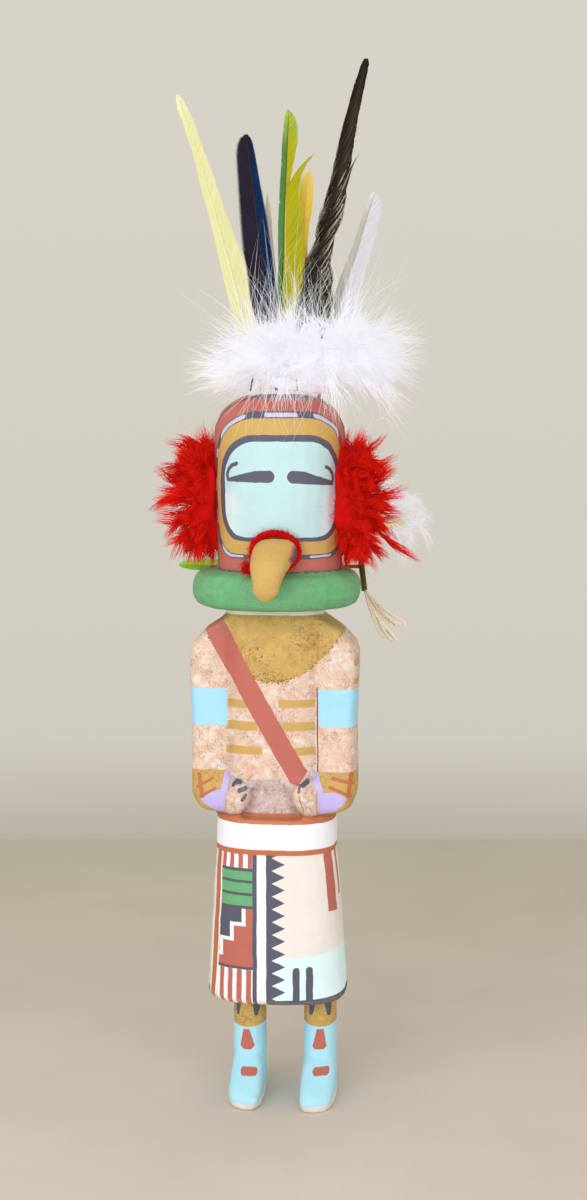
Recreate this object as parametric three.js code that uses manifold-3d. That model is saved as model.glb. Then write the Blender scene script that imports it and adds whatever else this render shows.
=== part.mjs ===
// A carved and painted wooden doll with a masked head, ear tufts of wool and a crest of down and feathers.
// Millimetres, +Z up. The doll faces -Y, so +X is the viewer's right.
import * as THREE from "three";
import { mergeVertices } from "three/addons/utils/BufferGeometryUtils.js";
import Module from "manifold-3d";

const wasm = await Module();
wasm.setup();

// Driving dimensions
const clearance = 0.3; // between two pieces that touch

// Heights of the carved figure's stretches, from the ground up
const legHeight = 36.5;
const kiltHeight = 52.5;
const beltHeight = 12.5;
const torsoHeight = 70.5;
const neckHeight = 2;
const ruffHeight = 13;
const headHeight = 61;
const soleHeight = 2;

// Widths and depths of the carved figure
const hemWidth = 49.4;
const hemDepth = 37;
const waistWidth = 41.8;
const waistDepth = 33;
const torsoWidth = 31;
const torsoDepth = 27;
const armWidth = 13.7;
const armDepth = 25;
const neckWidth = 35.2;
const ruffWidth = 58.4;
const ruffDepth = 53;
const headWidth = 45.6;
const headDepth = 45;
const domeHeight = 12.5; // the head's rounded top
const legWidth = 11.6;
const legDepth = 13.4;
const legSpacing = 25.2; // between the middles of the legs
const footLength = 28.8;
const footWidth = 12.6;
const footReach = 21.4; // from the legs' middle to the toes
const forearmHeight = 16.6;
const handWidth = 9.6;
const handHeight = 12.6;
const handReach = 4.6; // how far a hand stands out from the belly

// The hand-carved figure isn't quite straight: how far each stretch stands off the head's axis
const legsShift = 1.7;
const hemShift = -0.8;
const waistShift = -1.1;
const torsoShift = -1.6;
const ruffShift = -1.2;

// Beak and its ring of yarn
const beakWidth = 12.8;
const beakThickness = 9.2;
const beakReach = 14.5; // out from the mask
const beakDrop = 15.6; // from its root down to the tip
const yarnThickness = 2.4;
const yarnSlack = 1.1; // between beak and yarn at each side

// Wool tufts, down and feathers
const woolWidth = 17;
const woolDepth = 27;
const woolHeight = 37;
const lockLength = 8;
const crestWidth = 70;
const crestDepth = 56;
const crestHeight = 37;
const crestShift = 7.5;
const crestLift = 6; // of the down's lower edge over the tops of the wool
const tuftLength = 9;
const socketDepth = 6; // of a quill in the wood
const lobeRise = 22; // over the crown, where the green feather's second lobe leaves the shaft
const lobeShare = 0.83; // of the feather's height, where that lobe ends
const lobeSpread = 7; // of its tip to the side
const quillRadius = 0.9;
const vaneThickness = 1;
const featherLean = 0.07; // backwards, for each millimetre of height
const backDownWidth = 26;
const backDownHeight = 28;
const backDownDepth = 7;
const stringThickness = 2.2;
const tasselLength = 30;

// Levels that follow from the heights
const hemZ = legHeight;
const beltZ = hemZ + kiltHeight;
const waistZ = beltZ + beltHeight;
const neckZ = waistZ + torsoHeight;
const ruffZ = neckZ + neckHeight;
const ruffTopZ = ruffZ + ruffHeight;
const crownZ = ruffTopZ + headHeight;
const domeZ = crownZ - domeHeight;
const cheekZ = ruffTopZ + 10; // the mask widens from here
const browZ = ruffTopZ + 30; // up to here
const earZ = ruffTopZ + 24.5; // the middle of the wool
const earY = 2.5;

const xAxis = new THREE.Vector3(1, 0, 0);
const yAxis = new THREE.Vector3(0, 1, 0);
const zAxis = new THREE.Vector3(0, 0, 1);
const at = (x, y, z) => new THREE.Vector3(x, y, z);
const signedPower = (value, power) => Math.sign(value) * Math.abs(value) ** power;

// A closed geometry as a solid. Faces that point inwards are turned.
function solidOf(geometry) {
  const bare = geometry.clone();
  bare.deleteAttribute("normal");
  bare.deleteAttribute("uv");
  const merged = mergeVertices(bare, 1e-4);
  const vertProperties = new Float32Array(merged.attributes.position.array);
  const triVerts = new Uint32Array(merged.index.array);
  const made = new wasm.Manifold(new wasm.Mesh({ numProp: 3, vertProperties, triVerts }));
  if (made.volume() > 0) return made;
  for (let i = 0; i < triVerts.length; i += 3) {
    [triVerts[i + 1], triVerts[i + 2]] = [triVerts[i + 2], triVerts[i + 1]];
  }
  return new wasm.Manifold(new wasm.Mesh({ numProp: 3, vertProperties, triVerts }));
}

function geometryOf(solid) {
  const mesh = solid.getMesh();
  const geometry = new THREE.BufferGeometry();
  geometry.setAttribute("position", new THREE.BufferAttribute(mesh.vertProperties, mesh.numProp));
  geometry.setIndex(new THREE.BufferAttribute(mesh.triVerts, 1));
  geometry.computeVertexNormals();
  return geometry;
}

const joined = (solids) => solids.reduce((whole, piece) => whole.add(piece));
const cut = (solid, cutters) => cutters.reduce((rest, cutter) => rest.subtract(cutter), solid);

// A clump cut by what passes through it, without the tips of locks that the cut parts from it.
function trimmed(solid, cutters) {
  const bodies = cut(solid, cutters).decompose();
  return bodies.sort((a, b) => b.volume() - a.volume())[0];
}

// One level of a loft: its middle, half its size along u and v, and how square it is (2 is an ellipse).
function level(middle, halfU, halfV, power = 2, u = xAxis, v = yAxis) {
  return { middle, u: u.clone().multiplyScalar(halfU), v: v.clone().multiplyScalar(halfV), power };
}

// A cylinder with closed ends whose rings are moved to the levels.
function loft(sides, levels) {
  const geometry = new THREE.CylinderGeometry(1, 1, 1, sides, levels.length - 1);
  const position = geometry.attributes.position;
  for (let i = 0; i < position.count; i++) {
    const radius = Math.min(1, Math.round(Math.hypot(position.getX(i), position.getZ(i))));
    const angle = Math.atan2(position.getZ(i), position.getX(i));
    const { middle, u, v, power } = levels[Math.round((0.5 - position.getY(i)) * (levels.length - 1))];
    const point = middle
      .clone()
      .addScaledVector(u, radius * signedPower(Math.cos(angle), 2 / power))
      .addScaledVector(v, radius * signedPower(Math.sin(angle), 2 / power));
    position.setXYZ(i, point.x, point.y, point.z);
  }
  return solidOf(geometry);
}

// Upright loft from rows of [height, middle x, middle y, half width, half depth, power].
function uprightLoft(sides, rows) {
  return loft(
    sides,
    rows.map(([z, x, y, halfWidth, halfDepth, power]) => level(at(x, y, z), halfWidth, halfDepth, power)),
  );
}

// Loft that follows a smooth path and stays square to it. size(t) gives [half width, half thickness].
function pathLoft(sides, path, steps, side, size, power = 2) {
  const levels = [];
  for (let i = 0; i <= steps; i++) {
    const t = i / steps;
    const along = path.getTangentAt(t);
    const across = side.clone().addScaledVector(along, -side.dot(along)).normalize();
    const [halfWidth, halfThickness] = size(t);
    const out = along.clone().cross(across);
    levels.push(level(path.getPointAt(t), halfWidth, halfThickness, power, across, out));
  }
  return loft(sides, levels);
}

// The head: an upright drum that widens a little upwards, with a domed top.
function headForm(grow = 0) {
  const halfWidth = headWidth / 2 + grow;
  const halfDepth = headDepth / 2 + grow;
  const rows = [
    [ruffZ + ruffHeight / 2, 0, 0, 0.94 * halfWidth, 0.94 * halfDepth, 2.2],
    [cheekZ, 0, 0, 0.97 * halfWidth, 0.97 * halfDepth, 2.2],
    [browZ, 0, 0, 0.99 * halfWidth, 0.99 * halfDepth, 2.2],
  ];
  for (const degrees of [0, 24, 44, 62, 78]) {
    const angle = THREE.MathUtils.degToRad(degrees);
    const share = Math.cos(angle) ** (2 / 2.8);
    const rise = (domeHeight + grow) * Math.sin(angle) ** (2 / 2.8);
    rows.push([domeZ + rise, 0, 0, share * halfWidth, share * halfDepth, 2.2]);
  }
  return uprightLoft(28, rows);
}

// The thick collar under the head, rounded all round.
function ruffForm(grow = 0) {
  const half = ruffHeight / 2;
  const round = 0.86 * half;
  const rows = [];
  for (const degrees of [-84, -50, -16, 16, 50, 84]) {
    const angle = THREE.MathUtils.degToRad(degrees);
    const inset = round * (1 - signedPower(Math.cos(angle), 0.8)) - grow;
    const z = ruffZ + half + (half + grow) * signedPower(Math.sin(angle), 0.8);
    rows.push([z, ruffShift, 0, ruffWidth / 2 - inset, ruffDepth / 2 - inset, 2.15]);
  }
  return uprightLoft(28, rows);
}

// The torso is a flat-fronted block. Its chest ends in a low step over the bare belly.
function torsoForm() {
  const bellyZ = waistZ + 0.155 * torsoHeight;
  const halfWidth = torsoWidth / 2;
  const halfDepth = torsoDepth / 2;
  return uprightLoft(24, [
    [waistZ - 2, torsoShift, 0, halfWidth - 0.8, halfDepth - 1.3, 3],
    [bellyZ, torsoShift, 0, halfWidth - 0.8, halfDepth - 1.3, 3.4],
    [bellyZ + 0.4, torsoShift, 0, halfWidth, halfDepth - 0.4, 3.6],
    [waistZ + 0.4 * torsoHeight, torsoShift, 0, halfWidth, halfDepth, 4],
    [waistZ + 0.75 * torsoHeight, torsoShift, 0, halfWidth, halfDepth, 4],
    [waistZ + 0.9 * torsoHeight, torsoShift, 0, halfWidth + 0.6, halfDepth - 0.6, 3.6],
    [neckZ - 1.2, torsoShift, 0, neckWidth / 2 + 0.5, halfDepth - 2.2, 3.2],
    [neckZ, torsoShift, 0, neckWidth / 2 - 0.6, halfDepth - 3.2, 3],
    [ruffZ + ruffHeight / 2, torsoShift, 0, neckWidth / 2 - 2.4, halfDepth - 4, 2.6],
  ]);
}

// One arm: the sloping shoulder, the upper arm hanging at the torso's side and the rounded elbow.
function armForm(side) {
  const inner = torsoWidth / 2 - 1.6;
  const outer = torsoWidth / 2 + armWidth;
  const halfDepth = armDepth / 2;
  const rows = [
    [0.0, 0.66, 0.6, 2.6],
    [0.012, 0.84, 0.78, 3],
    [0.04, 0.935, 0.9, 3.6],
    [0.1, 0.985, 0.97, 4.6],
    [0.5, 0.975, 0.98, 5.4],
    [0.74, 1.0, 1.0, 5.4],
    [0.81, 1.0, 1.0, 5],
    [0.86, 0.965, 0.97, 4.4],
    [0.93, 0.8, 0.89, 3.6],
    [0.985, 0.6, 0.78, 3],
  ];
  return uprightLoft(
    16,
    rows.map(([share, reach, depth, power]) => {
      const edge = Math.max(reach * outer, inner + 2);
      const middle = torsoShift + (side * (inner + edge)) / 2;
      return [waistZ + 0.6 + share * (torsoHeight - 1), middle, 0.4, (edge - inner) / 2, depth * halfDepth, power];
    }),
  );
}

// The forearm comes forward from the elbow and ends in a hand that lies on the belly.
function forearmForm(side) {
  const front = -torsoDepth / 2;
  const middleZ = waistZ + 0.5 * forearmHeight;
  const x = (share) => torsoShift + side * share;
  const path = new THREE.CatmullRomCurve3([
    at(x(torsoWidth / 2 + 0.66 * armWidth), front + 6.6, middleZ + 0.4),
    at(x(torsoWidth / 2 + 0.3 * armWidth), front + 5.6, middleZ),
    at(x(torsoWidth / 2 - 1.5), front + 3.8, middleZ - 0.6),
    at(x(torsoWidth / 2 - 6.4), front + 2.8, middleZ - 1.2),
  ]);
  const arm = pathLoft(12, path, 5, zAxis, (t) => {
    const half = THREE.MathUtils.lerp(forearmHeight / 2 - 0.5, handHeight / 2, Math.min(1, t / 0.7));
    return [half * (t > 0.9 ? 0.7 : 1) * (t < 0.1 ? 0.8 : 1), 5.6 * (t > 0.9 ? 0.7 : 1)];
  }, 3);
  const palm = loft(
    12,
    [-0.97, -0.72, -0.3, 0.2, 0.65, 0.97].map((s) => {
      const share = Math.sqrt(1 - s * s);
      const middle = at(x(torsoWidth / 2 - 3.6 - s * 0.14 * handWidth), front + 1, middleZ - 1.2 + (s * handHeight) / 2);
      return level(middle, (share * handWidth) / 2 + 0.3, share * handReach + 0.3, 2.4);
    }),
  );
  return arm.add(palm);
}

// Belt and kilt: one flaring form with a hem that turns in at its edge.
function kiltForm() {
  const rows = [
    [waistZ, waistShift, 0, waistWidth / 2 - 0.7, waistDepth / 2 - 0.7, 2.7],
    [waistZ - 0.9, waistShift, 0, waistWidth / 2, waistDepth / 2, 2.7],
    [beltZ + 0.6, waistShift, 0, waistWidth / 2 + 0.2, waistDepth / 2 + 0.2, 2.7],
    [beltZ, waistShift, 0, waistWidth / 2 - 0.1, waistDepth / 2 - 0.1, 2.7],
  ];
  for (const t of [0.08, 0.3, 0.55, 0.8, 0.97]) {
    const halfWidth = THREE.MathUtils.lerp(waistWidth, hemWidth, t ** 0.9) / 2;
    const halfDepth = THREE.MathUtils.lerp(waistDepth, hemDepth, t ** 0.9) / 2;
    rows.push([beltZ - t * kiltHeight, THREE.MathUtils.lerp(waistShift, hemShift, t), 0, halfWidth, halfDepth, 2.8]);
  }
  rows.push([hemZ, hemShift, 0, hemWidth / 2 - 1.1, hemDepth / 2 - 1.1, 2.8]);
  return uprightLoft(28, rows);
}

const legX = (side) => legsShift + (side * legSpacing) / 2;

function legForm(side) {
  const x = legX(side);
  const halfWidth = legWidth / 2;
  const halfDepth = legDepth / 2;
  return uprightLoft(14, [
    [hemZ + 3, x, 0, halfWidth + 0.2, halfDepth, 2.4],
    [0.62 * legHeight, x, 0, halfWidth, halfDepth, 2.4],
    [0.3 * legHeight, x, -0.2, halfWidth + 0.1, halfDepth + 0.2, 2.5],
    [soleHeight, x, -0.4, halfWidth + 0.2, halfDepth + 0.5, 2.6],
  ]);
}

// A foot: a flat sole whose toe slants back towards the little toe, and the instep that falls towards it.
function footForm(side) {
  const x = legX(side);
  const heel = footLength - footReach;
  const slant = 0.32;
  const skewed = at(1, side * slant, 0);
  const soleMiddle = at(x, (heel - footReach) / 2, 0);
  const solePower = 3;
  const sole = loft(16, [
    level(soleMiddle, footWidth / 2, footLength / 2, solePower, skewed),
    level(soleMiddle.clone().setZ(0.8 * soleHeight), footWidth / 2, footLength / 2, solePower, skewed),
    level(soleMiddle.clone().setZ(1.1 * soleHeight), footWidth / 2 - 0.5, footLength / 2 - 0.5, solePower, skewed),
  ]);
  const rows = [
    [0.0, 0.7, 0.2],
    [0.06, 0.88, 0.34],
    [0.3, 0.95, 0.46],
    [0.5, 0.95, 0.41],
    [0.66, 0.95, 0.3],
    [0.82, 0.93, 0.21],
    [0.94, 0.84, 0.145],
    [0.99, 0.66, 0.09],
  ];
  const instep = loft(
    14,
    rows.map(([share, width, height]) => {
      const top = height * legHeight;
      const low = 0.5 * soleHeight;
      const middle = at(x, heel - share * footLength, (top + low) / 2);
      return level(middle, (width * footWidth) / 2, (top - low) / 2, 3, skewed, zAxis);
    }),
  );
  return sole.add(instep);
}

// The beak leaves the mask level, bows over the ruff and hooks down to a blunt tip. Its ring stands on the ruff.
const yarnHalfWidth = beakWidth / 2 + yarnSlack + yarnThickness / 2;
const yarnHalfHeight = beakThickness / 2 + clearance + yarnThickness / 2;
const beakRoot = at(0.4, -headDepth / 2, ruffTopZ + clearance + yarnHalfHeight + yarnThickness / 2);
function beakForm() {
  const path = new THREE.CatmullRomCurve3([
    at(beakRoot.x, beakRoot.y + 2, beakRoot.z),
    at(beakRoot.x, beakRoot.y - 0.4 * beakReach, beakRoot.z - 0.02 * beakDrop),
    at(beakRoot.x - 0.5, beakRoot.y - 0.8 * beakReach, beakRoot.z - 0.3 * beakDrop),
    at(beakRoot.x - 1, beakRoot.y - 0.98 * beakReach, beakRoot.z - 0.7 * beakDrop),
    at(beakRoot.x - 1.1, beakRoot.y - beakReach, beakRoot.z - beakDrop),
  ]);
  return pathLoft(12, path, 9, xAxis, (t) => {
    const swell = 0.9 + 0.13 * Math.sin(Math.PI * Math.min(1, t / 0.8));
    const taper = Math.sqrt(Math.max(0.02, 1 - Math.max(0, (t - 0.42) / 0.585) ** 2));
    return [(swell * taper * beakWidth) / 2, (swell * taper ** 1.1 * beakThickness) / 2];
  }, 2.3);
}

// A ring of yarn round the foot of the beak that follows the mask's round front.
function yarnRingForm() {
  const radius = yarnThickness / 2;
  const geometry = new THREE.TorusGeometry(1, 0.1, 5, 20);
  const position = geometry.attributes.position;
  const lift = headDepth / 2 + clearance + radius + 0.4;
  const bend = (lift / headWidth) * 2;
  for (let i = 0; i < position.count; i++) {
    const around = Math.atan2(position.getY(i), position.getX(i));
    const off = Math.hypot(position.getX(i), position.getY(i)) - 1;
    const x = Math.cos(around) * (yarnHalfWidth + 10 * off * radius);
    const z = Math.sin(around) * (yarnHalfHeight + 10 * off * radius);
    const y = -lift + 10 * position.getZ(i) * radius + (bend * x * x) / headWidth;
    position.setXYZ(i, beakRoot.x + x, y, beakRoot.z + z);
  }
  return solidOf(geometry);
}

const far = 1000; // a corner that leaves a clump all the room it wants

// A clump of pointed locks: every second corner in every second row of a ball is drawn out to a tip that droops.
// lowest and highest are the corners of the room that its neighbours leave it.
function clump({ middle, half, around, rows, lock, droop, lowest = at(-far, -far, -far), highest = at(far, far, far) }) {
  const ball = new THREE.SphereGeometry(1, around, rows);
  ball.rotateX(Math.PI / 2);
  const position = ball.attributes.position;
  for (let i = 0; i < position.count; i++) {
    const column = i % (around + 1) === around ? 0 : i % (around + 1);
    const row = Math.floor(i / (around + 1));
    const pole = row === 0 || row === rows;
    const direction = at(position.getX(i), position.getY(i), position.getZ(i));
    const isTip = !pole && row % 2 === 1 && (column + (row - 1) / 2) % 2 === 0;
    const uneven = Math.abs((Math.sin(127.1 * column + 311.7 * row) * 437.5) % 1);
    const reach = isTip ? lock * (0.4 + 0.8 * uneven) : 0;
    const out = direction.clone().divide(half).normalize();
    const p = direction.multiply(half).addScaledVector(out, reach).addScaledVector(zAxis, -droop * reach);
    p.add(middle).clamp(lowest, highest);
    position.setXYZ(i, p.x, p.y, p.z);
  }
  return solidOf(ball);
}

const woolTopZ = domeZ - clearance;
const woolBackY = headDepth / 2 - 2;
function woolForm(side) {
  return clump({
    middle: at(side * (headWidth / 2 + 0.3 * woolWidth), earY, earZ),
    half: at(woolWidth / 2, woolDepth / 2, woolHeight / 2),
    around: 14,
    rows: 11,
    lock: lockLength,
    droop: 0.35,
    highest: at(far, woolBackY, woolTopZ),
  });
}

function crestForm() {
  return clump({
    middle: at(crestShift, 1, crownZ + 0.36 * crestHeight),
    half: at(crestWidth / 2, crestDepth / 2, crestHeight / 2),
    around: 20,
    rows: 9,
    lock: tuftLength,
    droop: 0.15,
    lowest: at(-far, -far, woolTopZ + clearance + crestLift),
  });
}

// The down at the back of the head stands out past the doll's left side.
function backDownForm() {
  return clump({
    middle: at(headWidth / 2 + 0.52 * backDownWidth, headDepth / 2 + 1, ruffTopZ + 11),
    half: at(backDownWidth / 2, backDownDepth / 2, backDownHeight / 2),
    around: 12,
    rows: 7,
    lock: 0.6 * tuftLength,
    droop: 0.2,
    lowest: at(-far, woolBackY + clearance, -far),
  });
}

// A feather: a quill, then a vane. The vane opens over the first quarter and narrows as 1 - share^full, rounded
// by blunt. bow bends the feather, twist turns it towards its tip.
const vaneOpens = 0.25;
function featherForm({ root, tip, bow = 0, vane, start = 0.1, full = 2, blunt = 0.5, twist = 0, grow = 0 }) {
  const run = tip.clone().sub(root);
  const sideways = run.clone().cross(yAxis).normalize();
  const steps = 9;
  const levels = [];
  for (let i = 0; i <= steps; i++) {
    const t = i === steps ? 1 : 0.985 * (i / (steps - 1)) ** 0.85;
    const middle = root.clone().addScaledVector(run, t).addScaledVector(sideways, bow * Math.sin(Math.PI * t));
    const share = Math.max(0, (t - start) / (1 - start));
    const open = Math.min(1, share / vaneOpens) ** 0.7;
    const half = Math.max(quillRadius * (1 - 0.75 * t), vane * open * (1 - share ** full) ** blunt);
    const thin = share > 0 ? vaneThickness / 2 : quillRadius;
    const turn = new THREE.Quaternion().setFromAxisAngle(run.clone().normalize(), twist * t * t);
    const u = sideways.clone().applyQuaternion(turn);
    const v = run.clone().normalize().cross(u);
    levels.push(level(middle, half + grow, thin + grow, 2, u, v));
  }
  if (grow) {
    levels[0].middle.addScaledVector(run.clone().normalize(), -grow);
    levels[steps].middle.addScaledVector(run.clone().normalize(), grow);
  }
  return loft(6, levels);
}

// Feathers set in the crown: root over the head's axis, tip over the crown, in the crown's own frame.
const crownFeathers = {
  feather_pale_yellow: { root: [-4, -2.5], tip: [-34.6, 99], bow: -2, vane: 6.2, full: 1.1, blunt: 1, colour: "#eef0a0" },
  feather_dark_blue: { root: [-0.6, 1], tip: [-11.8, 85.5], bow: 1.5, vane: 5.7, full: 2.5, colour: "#2c2c50" },
  feather_grey_brown: { root: [0.2, 6], tip: [-4.5, 68.5], vane: 2, full: 2.5, colour: "#a89a86" },
  feather_green: { root: [3.6, -3], tip: [3.3, 94], bow: 1.4, vane: 3.3, full: 3, colour: "#4f9a55" },
  feather_yellow: { root: [7.4, 2], tip: [9.9, 73.5], vane: 3.6, full: 2.5, colour: "#f2c63a" },
  feather_black_barred: {
    root: [8, -0.9],
    tip: [28.8, 110.6],
    bow: 2.2,
    vane: 5.2,
    full: 1,
    blunt: 0.85,
    twist: 1.1,
    colour: "#3a3531",
  },
  feather_grey_white: { root: [12.4, 3], tip: [31.8, 65], bow: 1.4, vane: 4, full: 3, colour: "#c9c7bf" },
};

function crownFeather(name, grow = 0) {
  const { root, tip, ...shape } = crownFeathers[name];
  const [rootX, rootY] = root;
  const [tipX, tipRise] = tip;
  const bottomZ = crownZ - socketDepth;
  const slope = (tipX - rootX) / (tipRise + socketDepth);
  const made = featherForm({
    ...shape,
    grow,
    root: at(rootX, rootY, bottomZ),
    tip: at(tipX, rootY + featherLean * (tipRise + socketDepth), crownZ + tipRise),
  });
  if (name !== "feather_green") return made;
  // Its right vane is split: a second lobe leaves the shaft and ends beside it.
  const lobeFoot = lobeRise + socketDepth;
  const lobeTop = lobeShare * tipRise;
  const lobe = featherForm({
    root: at(rootX + slope * lobeFoot + 1, rootY + featherLean * lobeFoot, crownZ + lobeRise),
    tip: at(tipX + lobeSpread, rootY + featherLean * (lobeTop + socketDepth), crownZ + lobeTop),
    vane: 2.6,
    start: 0,
    full: 1.2,
    blunt: 0.8,
    bow: 1.4,
    grow,
  });
  return made.add(lobe);
}

// Feathers behind the head. The green one lies on the ruff, and its quill end stands out at the doll's left.
const backFeathers = {
  back_feather_green: {
    root: at(headWidth / 2 + 4.6, ruffDepth / 2 - 1.4, ruffTopZ - 1.6),
    tip: at(-headWidth / 2 - 15, ruffDepth / 2 + 2.6, ruffTopZ - 0.6),
    vane: 2.6,
    start: 0.5,
    full: 2.5,
    colour: "#7fc242",
  },
  back_feather_yellow_right: {
    root: at(-3, headDepth / 2 - 3, ruffTopZ + 12),
    tip: at(-headWidth / 2 - 13.5, headDepth / 2 + 3.5, earZ),
    vane: 3,
    colour: "#e9dc55",
  },
  back_feather_yellow_left: {
    root: at(3, headDepth / 2 - 3, ruffTopZ + 12),
    tip: at(headWidth / 2 + 21, headDepth / 2 + 3.5, ruffTopZ + 15),
    vane: 3,
    colour: "#e9dc55",
  },
};

// Cotton string tied round the quill end, hanging past the ruff in two bundles.
function tasselForm(grow = 0) {
  const knot = backFeathers.back_feather_green.root.clone().add(at(-0.6, 0.1, 0));
  const cordRadius = 0.6;
  const tied = new THREE.TorusGeometry(quillRadius + clearance + cordRadius, cordRadius + grow, 5, 9);
  tied.rotateY(Math.PI / 2);
  tied.translate(knot.x, knot.y, knot.z);
  const bundles = [0.5, 0.32].map((spread, i) => {
    const path = new THREE.CatmullRomCurve3([
      knot.clone().add(at(0.6, -1.2, -0.8)),
      knot.clone().add(at(0.16 * tasselLength, -1.6, -0.25 * tasselLength)),
      knot.clone().add(at((0.2 + 0.4 * spread) * tasselLength, -1.2, -0.55 * tasselLength)),
      knot.clone().add(at(spread * tasselLength, -0.6, (i ? -0.9 : -0.74) * tasselLength)),
    ]);
    return pathLoft(6, path, 5, yAxis, (t) => [
      (stringThickness / 2) * (0.6 + 0.7 * t) + grow,
      (stringThickness / 2) * (0.6 + 0.2 * t) + grow,
    ]);
  });
  return joined([solidOf(tied), ...bundles]);
}

// The pieces
const crownNames = Object.keys(crownFeathers);
const crownSolids = crownNames.map((name) => crownFeather(name));
const crownCutters = crownNames.map((name) => crownFeather(name, clearance));
const backNames = Object.keys(backFeathers);
const backSolids = backNames.map((name) => featherForm(backFeathers[name]));
const backCutters = backNames.map((name) => featherForm({ ...backFeathers[name], grow: clearance }));

const sides = [-1, 1];
const figure = cut(
  joined([
    headForm(),
    ruffForm(),
    torsoForm(),
    kiltForm(),
    ...sides.flatMap((side) => [armForm(side), forearmForm(side), legForm(side), footForm(side)]),
  ]),
  [...crownCutters, ...backCutters],
);
const headClear = headForm(clearance);
const ruffClear = ruffForm(clearance);
const carved = [headClear, ruffClear];
const hangings = [...carved, ...backCutters, tasselForm(2 * clearance)];
const wool = sides.map((side) => trimmed(woolForm(side), hangings));

const pieces = new THREE.Group();
function addPiece(name, solid, colour, roughness = 0.85) {
  const material = new THREE.MeshStandardMaterial({ color: colour, roughness, metalness: 0 });
  const mesh = new THREE.Mesh(geometryOf(solid), material);
  mesh.name = name;
  pieces.add(mesh);
}

addPiece("carved_figure", figure, "#e2c3a6", 0.75);
addPiece("beak", cut(beakForm(), carved), "#d9b25f", 0.7);
addPiece("beak_yarn_ring", yarnRingForm(), "#d42a20", 0.95);
addPiece("ear_wool_right", wool[0], "#d8261c", 0.95);
addPiece("ear_wool_left", wool[1], "#d8261c", 0.95);
addPiece("crest_down", trimmed(crestForm(), [headClear, ...crownCutters]), "#f6f5f1", 0.95);
crownNames.forEach((name, i) => addPiece(name, crownSolids[i], crownFeathers[name].colour, 0.6));
backNames.forEach((name, i) => addPiece(name, backSolids[i], backFeathers[name].colour, 0.6));
addPiece("back_down", trimmed(backDownForm(), hangings), "#f6f5f1", 0.95);
addPiece("string_tassel", cut(tasselForm(), carved), "#e9e2cf", 0.9);

// The origin is under the middle of the whole doll's box.
const box = new THREE.Box3().setFromObject(pieces);
pieces.position.set(-(box.min.x + box.max.x) / 2, -(box.min.y + box.max.y) / 2, -box.min.z);
const doll = new THREE.Group();
doll.add(pieces);

export default doll;
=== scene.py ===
# A carved and painted wooden doll with wool at its ears, and down and feathers on its head.
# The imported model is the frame. Sizes below are in millimetres, from the head's axis on the ground.
import math
import bmesh
import bpy
import numpy as np
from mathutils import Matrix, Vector


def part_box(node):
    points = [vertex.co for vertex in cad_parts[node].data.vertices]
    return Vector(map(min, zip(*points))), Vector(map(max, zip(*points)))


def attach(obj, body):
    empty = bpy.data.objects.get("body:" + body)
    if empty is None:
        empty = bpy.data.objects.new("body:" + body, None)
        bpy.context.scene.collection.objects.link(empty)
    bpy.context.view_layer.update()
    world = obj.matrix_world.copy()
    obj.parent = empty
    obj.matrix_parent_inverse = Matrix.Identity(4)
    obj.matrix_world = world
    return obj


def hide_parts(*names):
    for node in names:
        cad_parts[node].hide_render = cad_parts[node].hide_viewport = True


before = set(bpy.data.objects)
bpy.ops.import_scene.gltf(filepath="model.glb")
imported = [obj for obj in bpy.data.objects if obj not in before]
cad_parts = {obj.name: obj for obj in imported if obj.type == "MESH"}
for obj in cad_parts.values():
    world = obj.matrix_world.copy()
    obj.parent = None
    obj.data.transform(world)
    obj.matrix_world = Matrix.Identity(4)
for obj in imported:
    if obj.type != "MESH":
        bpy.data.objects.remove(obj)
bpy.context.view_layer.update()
bpy.ops.object.select_all(action="DESELECT")

mm = 0.001
quillNotch = 1.49 * mm  # the notch for the green quill sets the figure's box this far off the axis
figureLow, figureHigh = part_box("carved_figure")
axisPoint = np.array([(figureLow.x + figureHigh.x) / 2 + quillNotch, (figureLow.y + figureHigh.y) / 2, 0.0])


def toRow(points):
    return np.asarray(points, float) * mm + axisPoint


def toDoll(points):
    return (np.asarray(points, float) - axisPoint) / mm


def smoothstep(value):
    value = np.clip(value, 0, 1)
    return value * value * (3 - 2 * value)


def unit(vectors):
    return vectors / (np.linalg.norm(vectors, axis=-1, keepdims=True) + 1e-9)


def pointsOf(mesh, kind="co"):
    values = np.zeros(len(mesh.vertices) * 3)
    mesh.vertices.foreach_get(kind, values)
    return values.reshape(-1, 3)


def movePoints(mesh, places):
    mesh.vertices.foreach_set("co", toRow(places).ravel())


# Camera at the photograph's viewing angle
cameraPlace = {
    "x": 67.309, "y": -596.230, "z": 244.170, "azimuth": 6.0, "down": 6.504, "lens": 52.293, "sensor": 36,
}


def addCamera(place):
    bpy.ops.object.camera_add(location=toRow((place["x"], place["y"], place["z"])))
    camera = bpy.context.active_object
    camera.rotation_euler = (math.radians(90 - place["down"]), 0, math.radians(place["azimuth"]))
    camera.data.lens = place["lens"]
    camera.data.sensor_width = place["sensor"]
    bpy.context.scene.camera = camera


addCamera(cameraPlace)
print("camera placed")


# Colours are given as they look, 0 to 255
def paint(red, green, blue):
    def linear(value):
        value /= 255
        return value / 12.92 if value <= 0.04045 else ((value + 0.055) / 1.055) ** 2.4

    return (linear(red), linear(green), linear(blue), 1)


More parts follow.
